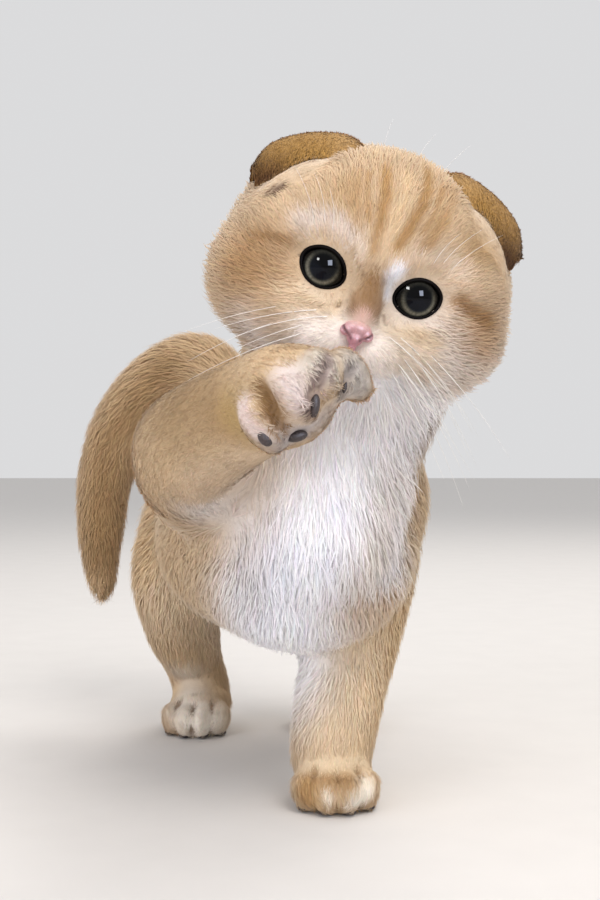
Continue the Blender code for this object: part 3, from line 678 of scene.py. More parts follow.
HEAD_MARKS = [  # the same, in the frame of the head
    ([(0, 28, 6)], 30, "#ab8b5f", 0.6),
    ([(-10, -29.5, -9.5), (-14, -28, -10)], 3.0, "#e6d4be", 0.8),
    ([(13.4, -27.7, -10.8)], 2.6, "#b8966a", 0.5),
    ([(22, -20.4, 11.6)], 5.5, "#a58458", 0.8),
    ([(-11.8, -25.9, 13.1)], 5.0, "#b8976b", 0.6),
    ([(28, -21, -7)], 9, "#a67e4f", 0.75),
    ([(-27, -22, -8)], 10, "#a27a4c", 0.8),
    ([(20, -19, -25), (8, -16, -31)], 9, "#ece8e8", 0.95),
    ([(29, -16, -19), (24, -19, -17)], 6, "#d9c8b6", 0.8),
    ([(-20, -19, -25), (-8, -16, -31)], 9, "#e2d8d0", 0.9),
    ([(-9, -33, -18), (9, -33, -18)], 7, "#ece2da", 0.95),
    ([(12, -31, -17), (18, -27, -18)], 5, "#d8c7b3", 0.85),
    ([(-6, -26, -27), (6, -26, -27)], 8, "#e9e6e8", 1.0),
    ([(8, -30, -11), (17, -28, -12)], 3.2, "#cdb697", 0.8),
    ([(-8, -30, -11), (-17, -28, -12)], 3.2, "#cdb697", 0.8),
    ([(8, -29, 5), (14, -27, 7), (19, -25, 5)], 2.8, "#d2beaa", 0.8),
    ([(-8, -29, 5), (-14, -27, 7), (-19, -25, 5)], 3.2, "#d3c6bd", 0.85),
    ([(-5, -30, 3), (-6, -31, -5)], 1.9, "#e3d5c9", 0.85),
    ([(5.0, -28.4, 0.4), (4.2, -28.4, -1.6), (4.4, -27.6, -4.6)], 2.3, "#f2f3fa", 1.0),
    ([(0.2, -30.6, -3.4), (0.5, -33.6, -8.6)], 4.2, "#7a5423", 0.9),
    ([(0, -34.6, -11.4), (0, -35, -13)], 2.3, "#d3aea2", 0.85),
    ([(-3.4, -34, -10), (-4, -32, -7)], 1.9, "#774f22", 0.85),
    ([(4.2, -32, -9.5), (4.4, -31, -7)], 1.9, "#774f22", 0.85),
    ([(-2, -30, 3), (-2.4, -29, 10), (-3, -27, 16), (-5, -23, 23)], 1.4, "#ab8451", 0.9),
    ([(-5, -28.5, 9), (-6.6, -26.5, 14), (-8, -24, 19)], 0.9, "#ab8451", 0.7),
    ([(3, -29, 6), (5, -28, 13), (6, -24, 21), (5, -18, 27)], 1.5, "#ab8451", 0.9),
    ([(7.4, -27.6, 11), (9, -25, 17), (9.4, -21, 23)], 0.9, "#ab8451", 0.7),
    ([(9, -28, 8), (11, -25, 15)], 1.6, "#b08c5a", 0.7),
    ([(0.8, -30, 7), (1.2, -27, 16), (0.4, -23, 23)], 1.3, "#dcc29c", 0.6),
    ([(-7, -29, 7), (-9, -27, 12), (-11, -24, 19)], 1.6, "#b8956a", 0.6),
    ([(10, -28, 10), (12, -24, 18), (12, -18, 24)], 1.7, "#b8956a", 0.6),
    ([(-20, -27, -0.5), (-24, -26, -0.5), (-29, -23, -2)], 1.6, "#8a6230", 0.7),
    ([(20.5, -26, -1), (24, -25, -2.5), (29, -22, -4)], 2.0, "#8a6230", 0.8),
    ([(17, -15, 22), (21, -16.4, 19.4), (25, -17, 16), (29.4, -16, 10.6)], 2.0, "#cfbca6", 0.95),
    ([(-17, -15, 22), (-21, -16.4, 19.4), (-25, -17, 16), (-29.4, -16, 10.6)], 2.0, "#cfbca6", 0.95),
    # painted shade: dark spots in the openings of the ears, under their folds
    ([(-27.4, -19.5, 9.6)], 1.5, "#4a3324", 0.9),
    ([(26.6, -20, 8)], 1.3, "#6a4d38", 0.6),
]
PAD_PITCH = 10  # degrees
PADS = [  # place, radii and roll of each pad of the raised paw
    ((-6.9, -89.2, 97.2), (1.35, 1.2, 1.9), -35), ((-0.7, -86.4, 97.6), (2.3, 1.4, 1.2), -12),
    ((2.9, -92.6, 103.4), (1.0, 1.4, 2.4), 8), ((8.9, -89.1, 107.2), (0.45, 0.8, 1.2), 12),
]
# painted shade in the grooves between the toes, the first partly the golden-brown fur there, and near black
# in the opening of the right ear
CLEFT_FUR_AND_SHADE_TONES = ["#7d5a2c", "#84706c", "#7d7472", "#452409"] + ["#8e6c42"] * 3 + ["#8d7058"] * 6
WHISKER_ROOTS = [
    (7.6, -33.6, -13.6), (10.4, -31.6, -13.0), (13, -29.8, -12.2), (7.4, -34.4, -16.4), (10.6, -32.4, -16.2),
    (13.6, -30, -15.6), (8.2, -33.6, -19.2), (11.4, -31.2, -19),
]


def markings(points):
    """The colour of the coat at points. Each mark counts by its strength times exp(-(distance / reach)^2.6).

    The whiskers' roots, the lips and the grooves, from their floor on, count by exp(-(distance / reach)^2);
    the grooves are painted darker, mostly as painted shade in them.
    Two slow waves of the place make all of it a few percent lighter or darker."""
    made = np.tile(srgb("#c2a784"), (len(points), 1))
    local = seen_in(points, HEAD)
    made = laid(made, rise(43 - np.linalg.norm(local * (1, 1, 1.12), axis=1), -6, 4), "#cbb191")
    for marks, where in ((BODY_MARKS, points), (HEAD_MARKS, local)):
        for path, reach, code, strength in marks:
            made = laid(made, strength * np.exp(-((gap_to(where, path) / reach) ** 2.6)), code)
    for root in WHISKER_ROOTS:
        for at in both(root):
            made = laid(made, 0.6 * fading(gap_to(local, [at]), 0.5), "#6d5138")
    left_half = np.abs(local) * (1, 0, 0) + local * (0, 1, 1)
    lips = np.minimum(gap_to(left_half, MOUTH), gap_to(local, PHILTRUM))
    made = laid(made, 0.85 * fading(lips, 0.8), "#8c5a52")
    # painted shade laid along the grooves and the ear's opening
    for (path, reach, deep), code in zip(CLEFTS, CLEFT_FUR_AND_SHADE_TONES):
        beyond = np.maximum(0, gap_to(points, path) - 0.6 * deep)
        made = laid(made, 0.8 * fading(beyond, reach * 0.7), code)
    wave = np.sin(points @ (0.31, 0.17, 0.23) + 1.3) * np.sin(points @ (-0.19, 0.29, 0.13) + 0.4)
    wave = wave + 0.6 * np.sin(points @ (0.83, -0.41, 0.57)) * np.sin(points @ (0.35, 0.77, -0.61) + 2.1)
    return np.clip(made * (1 + 0.045 * wave[:, None]), 0.002, 0.95)


# Skin

SMOOTH = 0.25  # of the way to the mean of the neighbours, in each round
ROOT_DEPTH, DEPTH_SHARE = 0.10, 0.20  # mm, and share of the coat's length, from the outline in to the skin
UNDER_LIDS, LID_EDGE, LID_REACH = 0.88, 1.18, 1.75  # on the scale of almond()
BEHIND_EYE = 6.2  # mm from the middle of the eye to the skin that the eyeball hides


def pressed(points, normals, path, reach, depth):
    """A groove along a path: points go in by depth times exp(-(distance / reach)^2)."""
    return points - normals * (depth * fading(gap_to(points, path), reach))[:, None]


def kept_sharp(points):
    """How far a place stays out of the smoothing: most at the muzzle, the paws and the lips of the ears."""
    fine = np.zeros(len(points))
    spots = [(put((0, -26, -9), HEAD), 24, 1.0), (np.array((-0.5, -87, 106)), 17, 1.0)]
    for at, reach, most in spots + [(put((0, -6, 6), sole), 15, 0.8) for sole, _, _ in PAWS]:
        fine = np.maximum(fine, np.clip(1.5 - gap_to(points, [at]) / reach, 0, 0.5) * 2 * most)
    for side in SIDES:
        fine = np.maximum(fine, 1 - rise(gap_to(points, put(on_side(EAR_LIP, side), HEAD)), 3.0, 6.0))
    return fine


def eye_opened(points, side):
    """The skin round an eye: 0.3 mm over the eyeball from 0.88 to 1.18 of the almond, and sunk within it.

    From 1.18 to 1.75 it runs back to its own depth along the gaze."""
    spot = eye_spot(side)
    local = seen_in(points, spot)
    out = almond(local)
    front = (local[:, 1] < -1.0) & (out < LID_REACH)
    flat = local[:, [0, 2]]
    rim = on_eye(flat * 1.04 / np.maximum(out, 0.3)[:, None], EYE_RADIUS + 0.3)
    share = (1 - rise(out, LID_EDGE, LID_REACH))[:, None]
    around = local * (1, 0, 1) + (rim * share + local * (1 - share)) * (0, 1, 0)
    moved = np.where((out < LID_EDGE)[:, None], rim, around)
    moved = np.where((out < UNDER_LIDS)[:, None], on_eye(flat, BEHIND_EYE), moved)
    return np.where(front[:, None], put(moved, spot), points)


def make_skin():
    """The body inside its coat: all masses fused, smoothed, then moved in by the depth of the coat.

    Then the grooves, the mouth and the eyes are pressed in, and the soles are made flat."""
    points, faces, edges = fused(joined(body_shells() + head_shells()), VOXEL)
    loose = SMOOTH * (1 - kept_sharp(points))
    points = relaxed(points, edges, loose, 60)
    points = relaxed(points, edges, SMOOTH, 5)
    _, length, *_ = coat_at(points)
    points = points - facing(points, faces) * (ROOT_DEPTH + DEPTH_SHARE * length)[:, None]
    points = relaxed(points, edges, loose, 12)
    points = relaxed(points, edges, SMOOTH, 2)
    normals = facing(points, faces)
    for path, reach, deep in CLEFTS:
        points = pressed(points, normals, path, reach, deep)
    for side in SIDES:
        points = pressed(points, normals, put(on_side(MOUTH, side), HEAD), 0.9, 0.8)
        points = eye_opened(points, side)
    points = pressed(points, normals, put(PHILTRUM, HEAD), 0.7, 0.6)
    points[:, 2] = np.maximum(points[:, 2], 0.25)
    return points, faces


def unwrap(made):
    """An unwrap of the skin's own shape into flat islands, kept as its OFBake map."""
    bpy.context.view_layer.objects.active = made
    made.select_set(True)
    made.data.uv_layers.new(name="OFBake")
    bpy.ops.object.mode_set(mode="EDIT")
    bpy.ops.mesh.select_all(action="SELECT")
    bpy.ops.uv.smart_project(angle_limit=math.radians(70), island_margin=0.002)
    bpy.ops.object.mode_set(mode="OBJECT")
    made.select_set(False)
    flat = np.empty(len(made.data.loops) * 2)
    made.data.uv_layers["OFBake"].data.foreach_get("uv", flat)
    return flat.reshape(-1, 2)


# Coat

COVER = np.array((2.3, 2.1, 2.6, 2.6, 2.6, 2.2, 2.0, 2.0, 2.0))  # how many times over, for each region
TUFT_FACES = [(0, 1, 4), (0, 4, 3), (1, 2, 5), (1, 5, 4), (2, 0, 3), (2, 3, 5)]  # three points at the root,
TUFT_FACES += [(3, 4, 6), (4, 5, 6), (5, 3, 6), (0, 2, 1)]  # three at 0.45 of the length, and the tip
TUFT_FLAT = np.array([(-1, 0), (0, 0), (1, 0), (-1, 1), (0, 1), (1, 1), (0, 2)]) * 0.0015  # of the OFBake map
# painted shade: each tuft darker at its root and along its sides, and a little lighter at its tip
TUFT_PAINTED_SHADE = np.array((0.93, 0.95, 0.93, 0.98, 1.0, 0.98, 1.03))  # share of its tone, root to tip
TUFT_SIDES = np.array((-1, 0, 1, -1, 0, 1, 0.0))  # which side of the middle line each point is on


def scattered(points, normals, faces, flat, thick, many):
    """Root places on faces of four corners, as many as asked, each face by its area times thick.

    Returns the places, the normals there and the OFBake coordinates there, read between the corners."""
    corners = points[faces]
    area = np.linalg.norm(np.cross(corners[:, 2] - corners[:, 0], corners[:, 3] - corners[:, 1]), axis=1) / 2
    total = np.cumsum(area * thick)
    picked = np.searchsorted(total, (np.arange(many) + CHANCE.random(many)) / many * total[-1])
    picked = np.minimum(picked, len(faces) - 1)
    s, t = CHANCE.random((2, many, 1))
    mix = np.stack([(1 - s) * (1 - t), s * (1 - t), s * t, (1 - s) * t], 1)
    place = (corners[picked] * mix).sum(1)
    upward = unit((normals[faces[picked]] * mix).sum(1))
    return place, upward, (flat.reshape(-1, 4, 2)[picked] * mix).sum(1)


def tufts(roots, normals, way, length, width, lift, tone, patch):
    """Thin closed tufts of three sides and a pointed tip, each along an arc over the skin.

    A slow wave of the place turns neighbours the same way, so they part into locks. The middle line starts
    0.25 mm under the root, goes along the lie of the coat, and rises as 2 (t - 0.6 t^2) times the length and
    the sine of the lift. Rings stand at t = 0 and 0.45 and the tip at 1, and their width goes 0.8, 1, 0.
    Returns the surface, and each point's colour, with painted shade darker at the root and the sides, OFBake
    coordinates and the way it faces for the light."""
    many = len(roots)
    way = unit(way - (way * normals).sum(1, keepdims=True) * normals)
    drift = np.sin(roots @ (0.62, 0.45, 0.53) + 1.0) * np.sin(roots @ (-0.41, 0.67, 0.33))
    spin = (CHANCE.normal(0, 0.14, many) + 0.16 * drift)[:, None]
    way = unit(way + spin * np.cross(way, normals))
    across = np.cross(way, normals)
    bend = CHANCE.normal(0, 0.10, many)[:, None, None]
    t = np.array((0.0, 0.45, 1.0))[:, None]
    reach, half = length[:, None, None], width[:, None, None, None] / 2
    high = np.sin(np.radians(lift))[:, None, None]
    line = roots[:, None] + way[:, None] * reach * t + across[:, None] * reach * bend * t**2
    line = line + normals[:, None] * (reach * 2.0 * high * (t - 0.6 * t**2) - 0.25)
    sides = np.array((-1.0, 0.0, 1.0))[:, None]
    rings = line[:, :2, None] + across[:, None, None] * sides * half * np.array((0.8, 1.0))[:, None, None]
    rings = rings + normals[:, None, None] * (1 - np.abs(sides)) * half * 0.5
    points = np.concatenate([rings.reshape(many, 6, 3), line[:, 2:]], 1)
    points[..., 2] = np.maximum(points[..., 2], 0.12)
    faces = (np.array(TUFT_FACES) + 7 * np.arange(many)[:, None, None]).reshape(-1, 3)
    lean = TUFT_SIDES[:, None] * across[:, None] * 0.16
    lean = unit(normals[:, None] + lean + way[:, None] * np.array((0, 0, 0, 0, 0, 0, 0.3))[:, None])
    # the tone times the painted shade of the root, the sides and the tip
    shade = np.clip(tone[:, None] * TUFT_PAINTED_SHADE[:, None], 0, 1)
    flat = np.clip(patch[:, None] + TUFT_FLAT, 0, 1)
    return (points.reshape(-1, 3), faces), shade.reshape(-1, 3), flat.reshape(-1, 2), lean.reshape(-1, 3)


def bare_at(roots, upward):
    """Where no coat grows: within the lids, on lips, nose and pads, in the ear's opening, under the soles."""
    local = seen_in(roots, HEAD)
    bare = (roots[:, 2] < 0.8) & (upward[:, 2] < -0.4)
    for side in SIDES:
        eye = seen_in(roots, eye_spot(side))
        bare |= (almond(eye) < 1.14) & (eye[:, 1] < 0)
        bare |= gap_to(local, on_side(MOUTH, side)) < 0.75
    wings = gap_to(local * (1, 1, 1.1), [(-2.6, -36, -15.6), (2.6, -36, -15.6)])
    bare |= (wings < 3.1) & (local[:, 1] < -31)
    bare |= gap_to(local, [(0, -36, -15), (0, -36.5, -19)]) < 2.2
    bare |= gap_to(roots, CLEFTS[EAR_OPENING][0]) < 1.1
    for at, radii, roll in PADS:
        inside = seen_in(roots, posed(at, PAD_PITCH, roll)) / (np.array(radii) + (0.5, 1.5, 0.5))
        bare |= np.linalg.norm(inside, axis=1) < 1
    return bare


def varied(values, spread, least, most):
    """Values times draws about 1, held between a least and a most."""
    return values * np.clip(CHANCE.normal(1, spread, len(values)), least, most)


def lay_coat(skin_points, skin_faces, flat, look):
    """Tufts all over the skin but for its bare places, in pieces by region."""
    normals = facing(skin_points, skin_faces)
    _, length, width, _, region = coat_at(skin_points[skin_faces].mean(1))
    thick = COVER[region] / (length * width)
    roots, upward, patch = scattered(skin_points, normals, skin_faces, flat, thick, TUFTS)
    grown = ~bare_at(roots, upward)
    roots, upward, patch = roots[grown], upward[grown], patch[grown]
    way, length, width, lift, region = coat_at(roots)
    length = varied(length, 0.17, 0.5, 1.5)
    width = varied(width, 0.18, 0.6, 1.5)
    lift = varied(lift, 0.25, 0.4, 1.9)
    many = len(roots)
    tone = markings(roots) * np.clip(CHANCE.normal(1, 0.06, (many, 1)), 0.75, 1.25)
    tone = tone * (1 + CHANCE.normal(0, 0.02, (many, 3)))
    values = (roots, upward, way, length, width, lift, tone, patch)
    for k, name in enumerate(REGIONS):
        rows = np.flatnonzero(region == k)
        parts = max(1, math.ceil(len(rows) / PIECE_TUFTS))
        for part in range(parts):
            made, shade, bake, lean = tufts(*(each[rows[part::parts]] for each in values))
            label = f"coat_{name}" + (f"_{part + 1}" if parts > 1 else "")
            piece(label, made, look, tone=shade, patch=bake, leaning=lean)


# Looks


def look_of(name, levels):
    """A look named for its material, and its shader with some of its levels set."""
    made = bpy.data.materials.new(name)
    made.use_nodes = True
    shader = made.node_tree.nodes["Principled BSDF"]
    for socket, level in levels.items():
        shader.inputs[socket].default_value = level
    return made, shader


def add(look, kind, settings=(), links=()):
    """Adds a node with its settings, and links (socket, value or other node's output) into it."""
    node = look.node_tree.nodes.new(kind)
    for name, value in dict(settings).items():
        setattr(node, name, value)
    for socket, value in dict(links).items():
        if isinstance(value, bpy.types.NodeSocket):
            look.node_tree.links.new(value, node.inputs[socket])
        else:
            node.inputs[socket].default_value = value
    return node


def join_to(look, output, socket):
    """Feeds a node's output into a socket."""
    look.node_tree.links.new(output, socket)


def colour(code):
    """An opaque linear colour of an sRGB hex value."""
    return (*srgb(code), 1.0)


def texture(look, kind, scale, **more):
    """The value of a texture of noise or of cells, read at the object's own metres times a scale."""
    place = add(look, "ShaderNodeTexCoord").outputs["Object"]
    return add(look, f"ShaderNodeTex{kind}", {}, {"Vector": place, "Scale": scale, **more}).outputs[0]


def ranged(look, value, low, high, start=0.0, end=1.0):
    """A value that goes from low to high while another goes from start to end."""
    links = {"Value": value, "From Min": start, "From Max": end, "To Min": low, "To Max": high}
    return add(look, "ShaderNodeMapRange", {}, links).outputs["Result"]


def times(look, vector, level):
    """A colour times a value."""
    links = {0: vector, "Scale": level}
    return add(look, "ShaderNodeVectorMath", {"operation": "SCALE"}, links).outputs["Vector"]


def coloured(look, shader, level):
    """The surface's own colour, from its tone attribute, times a value."""
    tone = add(look, "ShaderNodeAttribute", {"attribute_name": "tone"}).outputs["Color"]
    join_to(look, times(look, tone, level), shader.inputs["Base Color"])


def speckled(name, levels, first, second, kind, scale, **more):
    """A look that runs from one colour to another by a texture. Returns it, its shader and the texture."""
    look, shader = look_of(name, levels)
    grain = texture(look, kind, scale, **more)
    links = {"Factor": grain, 6: colour(first), 7: colour(second)}
    mixed = add(look, "ShaderNodeMix", {"data_type": "RGBA"}, links)
    join_to(look, mixed.outputs[2], shader.inputs["Base Color"])
    return look, shader, grain


def bumped(look, shader, grain, strength, deep, invert):
    """Fine relief from a texture's value, deep metres from its top to its floor."""
    links = {"Height": grain, "Strength": strength, "Distance": deep}
    bump = add(look, "ShaderNodeBump", {"invert": invert}, links)
    join_to(look, bump.outputs["Normal"], shader.inputs["Normal"])


def fur_look():
    """Kitten underfur and fine guard hair: matt, soft at its edge, each tuft a little streaked along.

    The undersides of tufts take their own normal and a tone painted up to half again paler: painted light,
    for the light that thin hair lets through."""
    levels = {"Roughness": 0.72, "Specular IOR Level": 0.15, "Sheen Weight": 0.22, "Sheen Roughness": 0.45}
    look, shader = look_of("kitten_fur", levels)
    streak = ranged(look, texture(look, "Noise", 1400.0, Detail=2.0), 0.92, 1.08)
    side = add(look, "ShaderNodeNewGeometry")
    given, true = side.outputs["Normal"], side.outputs["True Normal"]
    agree = add(look, "ShaderNodeVectorMath", {"operation": "DOT_PRODUCT"}, {0: given, 1: true})
    under = ranged(look, agree.outputs["Value"], 1.0, 0.0, 0.0, 0.75)
    # painted light: the tone of the undersides painted up to 1.5 times paler
    through = add(look, "ShaderNodeMath", {"operation": "MULTIPLY_ADD"}, {0: under, 1: 0.5, 2: streak})
    coloured(look, shader, through.outputs["Value"])
    faced = add(look, "ShaderNodeMix", {"data_type": "VECTOR"}, {"Factor": under, 4: given, 5: true})
    even = add(look, "ShaderNodeVectorMath", {"operation": "NORMALIZE"}, {0: faced.outputs[1]})
    join_to(look, even.outputs["Vector"], shader.inputs["Normal"])
    return look


def skin_look():
    """Thin skin between the roots of the fur: the colour of the coat, a little deeper, with a fine bump."""
    look, shader = look_of("skin_under_fur", {"Roughness": 0.9})
    grain = texture(look, "Noise", 1800.0, Detail=3.0)
    coloured(look, shader, ranged(look, grain, 0.9, 1.04))
    bumped(look, shader, grain, 0.6, 0.0003, False)
    return look


def nose_look():
    """Nose leather: moist bare skin, pink, pebbled at 0.35 mm, with a soft gloss."""
    levels = {"Roughness": 0.38, "Subsurface Weight": 0.25, "Subsurface Scale": 0.0008}
    levels["Subsurface Radius"] = (1.0, 0.35, 0.25)
    look, shader = look_of("nose_leather", levels)
    pebble = texture(look, "Voronoi", 2600.0)
    coloured(look, shader, ranged(look, pebble, 1.05, 0.85))
    bumped(look, shader, pebble, 0.35, 0.00012, True)
    return look


def pad_look():
    """Paw pad: thick dark skin, dry and finely grained at 0.4 mm."""
    made = speckled("paw_pad_skin", {"Roughness": 0.55}, "#4a3d3c", "#2b2423", "Voronoi", 2300.0)
    bumped(*made, 0.4, 0.00015, True)
    return made[0]


def lid_look():
    """The bare edge of the eyelids: near black, a little brown, with a faint dull shine."""
    levels = {"Roughness": 0.55, "Specular IOR Level": 0.04}
    return speckled("lid_edge_skin", levels, "#070505", "#110c0a", "Noise", 2500.0)[0]


def whisker_look():
    """A whisker: stiff white keratin, smooth."""
    return speckled("whisker_keratin", {"Roughness": 0.35}, "#f6f4f2", "#e4dfda", "Noise", 300.0)[0]


# the dark outer ring is partly the iris's own dark edge and partly painted shade of the lids; beyond it the
# eyeball is painted near black as shade
IRIS = (  # share of the eyeball's radius, and colour: pupil, iris and its dark outer ring
    (0.0, "#05060b"), (0.37, "#07090f"), (0.41, "#121416"), (0.445, "#31312c"), (0.51, "#514f46"),
    (0.555, "#403f37"), (0.60, "#151614"), (0.68, "#0a0909"), (1.0, "#080706"),
)


def eye_look():
    """A kitten's eye: wide dark pupil, grey iris with fine rays painted darker to its top as shade of the
    upper lid, dark outer ring partly painted shade of the lids, under a wet cornea.
    """
    levels = {"Roughness": 0.25, "Specular IOR Level": 0.0, "IOR": 1.376}
    levels.update({"Coat Weight": 0.4, "Coat Roughness": 0.01, "Coat IOR": 1.38})
    look, shader = look_of("wet_eye", levels)
    disc = add(look, "ShaderNodeAttribute", {"attribute_name": "disc"}).outputs["Vector"]
    rays = {"Vector": disc, "Scale": 9.0, "Detail": 3.0, "Roughness": 0.6}
    rays = ranged(look, add(look, "ShaderNodeTexNoise", {}, rays).outputs["Fac"], 0.7, 1.35, 0.3, 0.7)
    parted = add(look, "ShaderNodeSeparateXYZ", {}, {0: disc})
    # painted shade of the upper lid: the iris darker towards its top and lighter towards its bottom
    lid_shade_painted = ranged(look, parted.outputs["Y"], 1.9, 0.2, -0.8, 0.5)
    level = add(look, "ShaderNodeMath", {"operation": "MULTIPLY"}, {0: rays, 1: lid_shade_painted})
    ramp = add(look, "ShaderNodeValToRGB", {}, {"Fac": parted.outputs["Z"]})
    stops = ramp.color_ramp.elements
    while len(stops) < len(IRIS):
        stops.new(0.5)
    for stop, (at, code) in zip(stops, IRIS):
        stop.position, stop.color = at, colour(code)
    join_to(look, times(look, ramp.outputs["Color"], level.outputs["Value"]), shader.inputs["Base Color"])
    return look


# Ears

EAR_ROOT = [(9, -1, 26.0), (14, 0.5, 26.5), (19.5, 5, 24.5), (26, 8.5, 20), (31, 8, 14), (33.5, 3, 8.5)]
EAR_FOLD = [(10.5, -6, 27.2), (15.5, -5.5, 28.4), (22, -4, 27.2), (27.8, -2.8, 24.6), (32.6, -3, 20.6)]
EAR_FOLD += [(35, -5.8, 14.2)]
EAR_RIM = [(12.5, -12.5, 23.6), (17.5, -14, 22.4), (22, -15.2, 20.9), (26, -14.7, 17.9), (29.4, -13.2, 14.4)]
EAR_RIM += [(33, -9.8, 10.6)]
EAR_THICK = 1.3  # mm
EAR_TUFTS, FRINGE_TUFTS = 5200, 700


def ear_sheet(side, across=36, along=30):
    """The middle of a folded ear: u runs along it, and v from root to rim, a quadratic through three lines.

    The lines are the root, the top of the fold and the free rim, each a smooth cubic curve in u."""
    lines = []
    for line in (EAR_ROOT, EAR_FOLD, EAR_RIM):
        rows = curve([(at, 1.0) for at in on_side(line, side)], 24)[:, :3]
        lines.append(rows[np.linspace(0, len(rows) - 1, across).round().astype(int)])
    v = np.linspace(0, 1, along)[:, None, None]
    root, fold, rim = (line[None] for line in lines)
    sheet = (1 - v) * (1 - 2 * v) * root + 4 * v * (1 - v) * fold + v * (2 * v - 1) * rim
    return put(sheet, HEAD)


def sheet_normals(sheet, side):
    """Square to the sheet at each point: the cross product of its two slopes, outwards."""
    return unit(np.cross(np.gradient(sheet, axis=1), np.gradient(sheet, axis=0))) * -side


def thick_sheet(sheet, normals, thick):
    """A closed sheet: rings of points over the outside and back under the inside, with fans at the ends."""
    u = np.linspace(0, 1, sheet.shape[1])[None, :, None]
    v = np.linspace(0, 1, sheet.shape[0])[:, None, None]
    half = thick / 2 * np.sqrt(np.clip(1 - (2 * u - 1) ** 8, 0.02, 1)) * np.sqrt(np.clip(1 - v**10, 0.05, 1))
    over, under = sheet + normals * half, (sheet - normals * half)[::-1]
    rings = np.concatenate([over, under], 0).transpose(1, 0, 2)
    return shell(rings, rings[0].mean(0), rings[-1].mean(0))


def ear_tone(points, side):
    """Golden brown over the back of the ear, darker to its outer lower end and paler to its inner one."""
    local = seen_in(points, HEAD) * (side, 1, 1)
    made = np.tile(srgb("#9b7539"), (len(points), 1))
    made = laid(made, 0.95 * fading(gap_to(local, [(30, -13, 13.5), (33, -9, 12)]), 6), "#4a2a0e")
    return laid(made, 0.85 * rise(21 - local[:, 0], 0, 7), "#b08c58")


def ear_coat(sheet, normals, spread, side):
    """Short golden fur over the outside of an ear, from its root to its rim."""
    rows, columns = sheet.shape[:2]
    row, column = np.divmod(np.arange((rows - 1) * (columns - 1)), columns - 1)
    corner = row * columns + column
    quads = np.stack([corner, corner + 1, corner + columns + 1, corner + columns], -1)
    flat = spread.reshape(-1, 2)[quads.ravel()] * (0.5, 1)
    over, even = (sheet + normals * 0.55).reshape(-1, 3), np.ones(len(quads))
    roots, upward, at = scattered(over, normals.reshape(-1, 3), quads, flat, even, EAR_TUFTS)
    row = np.clip((at[:, 1] * (rows - 1)).round().astype(int), 0, rows - 1)
    column = np.clip((at[:, 0] * 2 * (columns - 1)).round().astype(int), 0, columns - 1)
    way = unit(np.gradient(sheet, axis=0)[row, column])
    length, width = CHANCE.normal(2.2, 0.35, EAR_TUFTS), CHANCE.normal(0.26, 0.04, EAR_TUFTS)
    tone = ear_tone(roots, side) * np.clip(CHANCE.normal(1, 0.15, (EAR_TUFTS, 1)), 0.6, 1.4)
    return tufts(roots, upward, way, length, width, CHANCE.normal(9, 3, EAR_TUFTS), tone, at)


def ear_fringe(sheet, normals):
    """Pale tufts along the free rim of an ear, that lie along it either way and reach over it."""
    many, columns = FRINGE_TUFTS, sheet.shape[1]
    u = CHANCE.random(many) * (columns - 1)
    low = np.minimum(u.astype(int), columns - 2)
    part = (u - low)[:, None]
    rim = sheet[-1][low] * (1 - part) + sheet[-1][low + 1] * part
    up = normals[-1][low]
    ahead = unit(sheet[-1] - sheet[-3])[low]
    along = unit(np.gradient(sheet[-1], axis=0))[low]
    tilt = CHANCE.uniform(-0.5, 0.5, many)[:, None]
    pale = np.tile(srgb("#b39063"), (many, 1)) * np.clip(CHANCE.normal(1, 0.08, (many, 1)), 0.7, 1.2)
    way = along * CHANCE.uniform(-0.9, 0.9, (many, 1)) + ahead * 0.7
    sizes = ((1.5, 0.3), (0.2, 0.03), (8, 4))  # mean and spread of the length, width and lift
    length, width, lift = (CHANCE.normal(mean, spread, many) for mean, spread in sizes)
    flat = np.stack([low / (columns - 1) * 0.5, np.full(many, 0.98)], 1)
    return tufts(rim + up * tilt, unit(up * (1 + tilt) - ahead * 0.1), way, length, width, lift, pale, flat)


def make_ear(side, fur, skin):
    """One ear: the thick sheet, short golden fur outside, and a pale fringe along the free rim."""
    name = SIDES[side]
    sheet = ear_sheet(side)
    normals = sheet_normals(sheet, side)
    surface = outward(thick_sheet(sheet, normals, EAR_THICK))
    u, v = (np.linspace(0.02, 0.98, sheet.shape[k]) for k in (1, 0))
    spread = np.stack(np.meshgrid(u, v), -1)
    half = spread * (0.5, 1)
    both_faces = np.concatenate([half, half[::-1] + (0.5, 0)], 0).transpose(1, 0, 2).reshape(-1, 2)
    patch, tone = np.vstack([both_faces, [(0.25, 0.5)], [(0.75, 0.5)]]), ear_tone(surface[0], side)
    label = f"{name}_ear"
    piece(f"{label}_skin", surface, skin, stands_for=(label,), tone=tone, patch=patch)
    parts = [ear_coat(sheet, normals, spread, side), ear_fringe(sheet, normals)]
    surfaces, tones, flats, leans = zip(*parts)
    tone, patch, leaning = (np.vstack(each) for each in (tones, flats, leans))
    piece(f"{label}_coat", joined(surfaces), fur, tone=tone, patch=patch, leaning=leaning)


# Eyes, nose, pads, whiskers

CORNEA_HIGH, CORNEA_WIDE = 0.35, 0.7  # mm, and the angle from the gaze where it ends, in radians


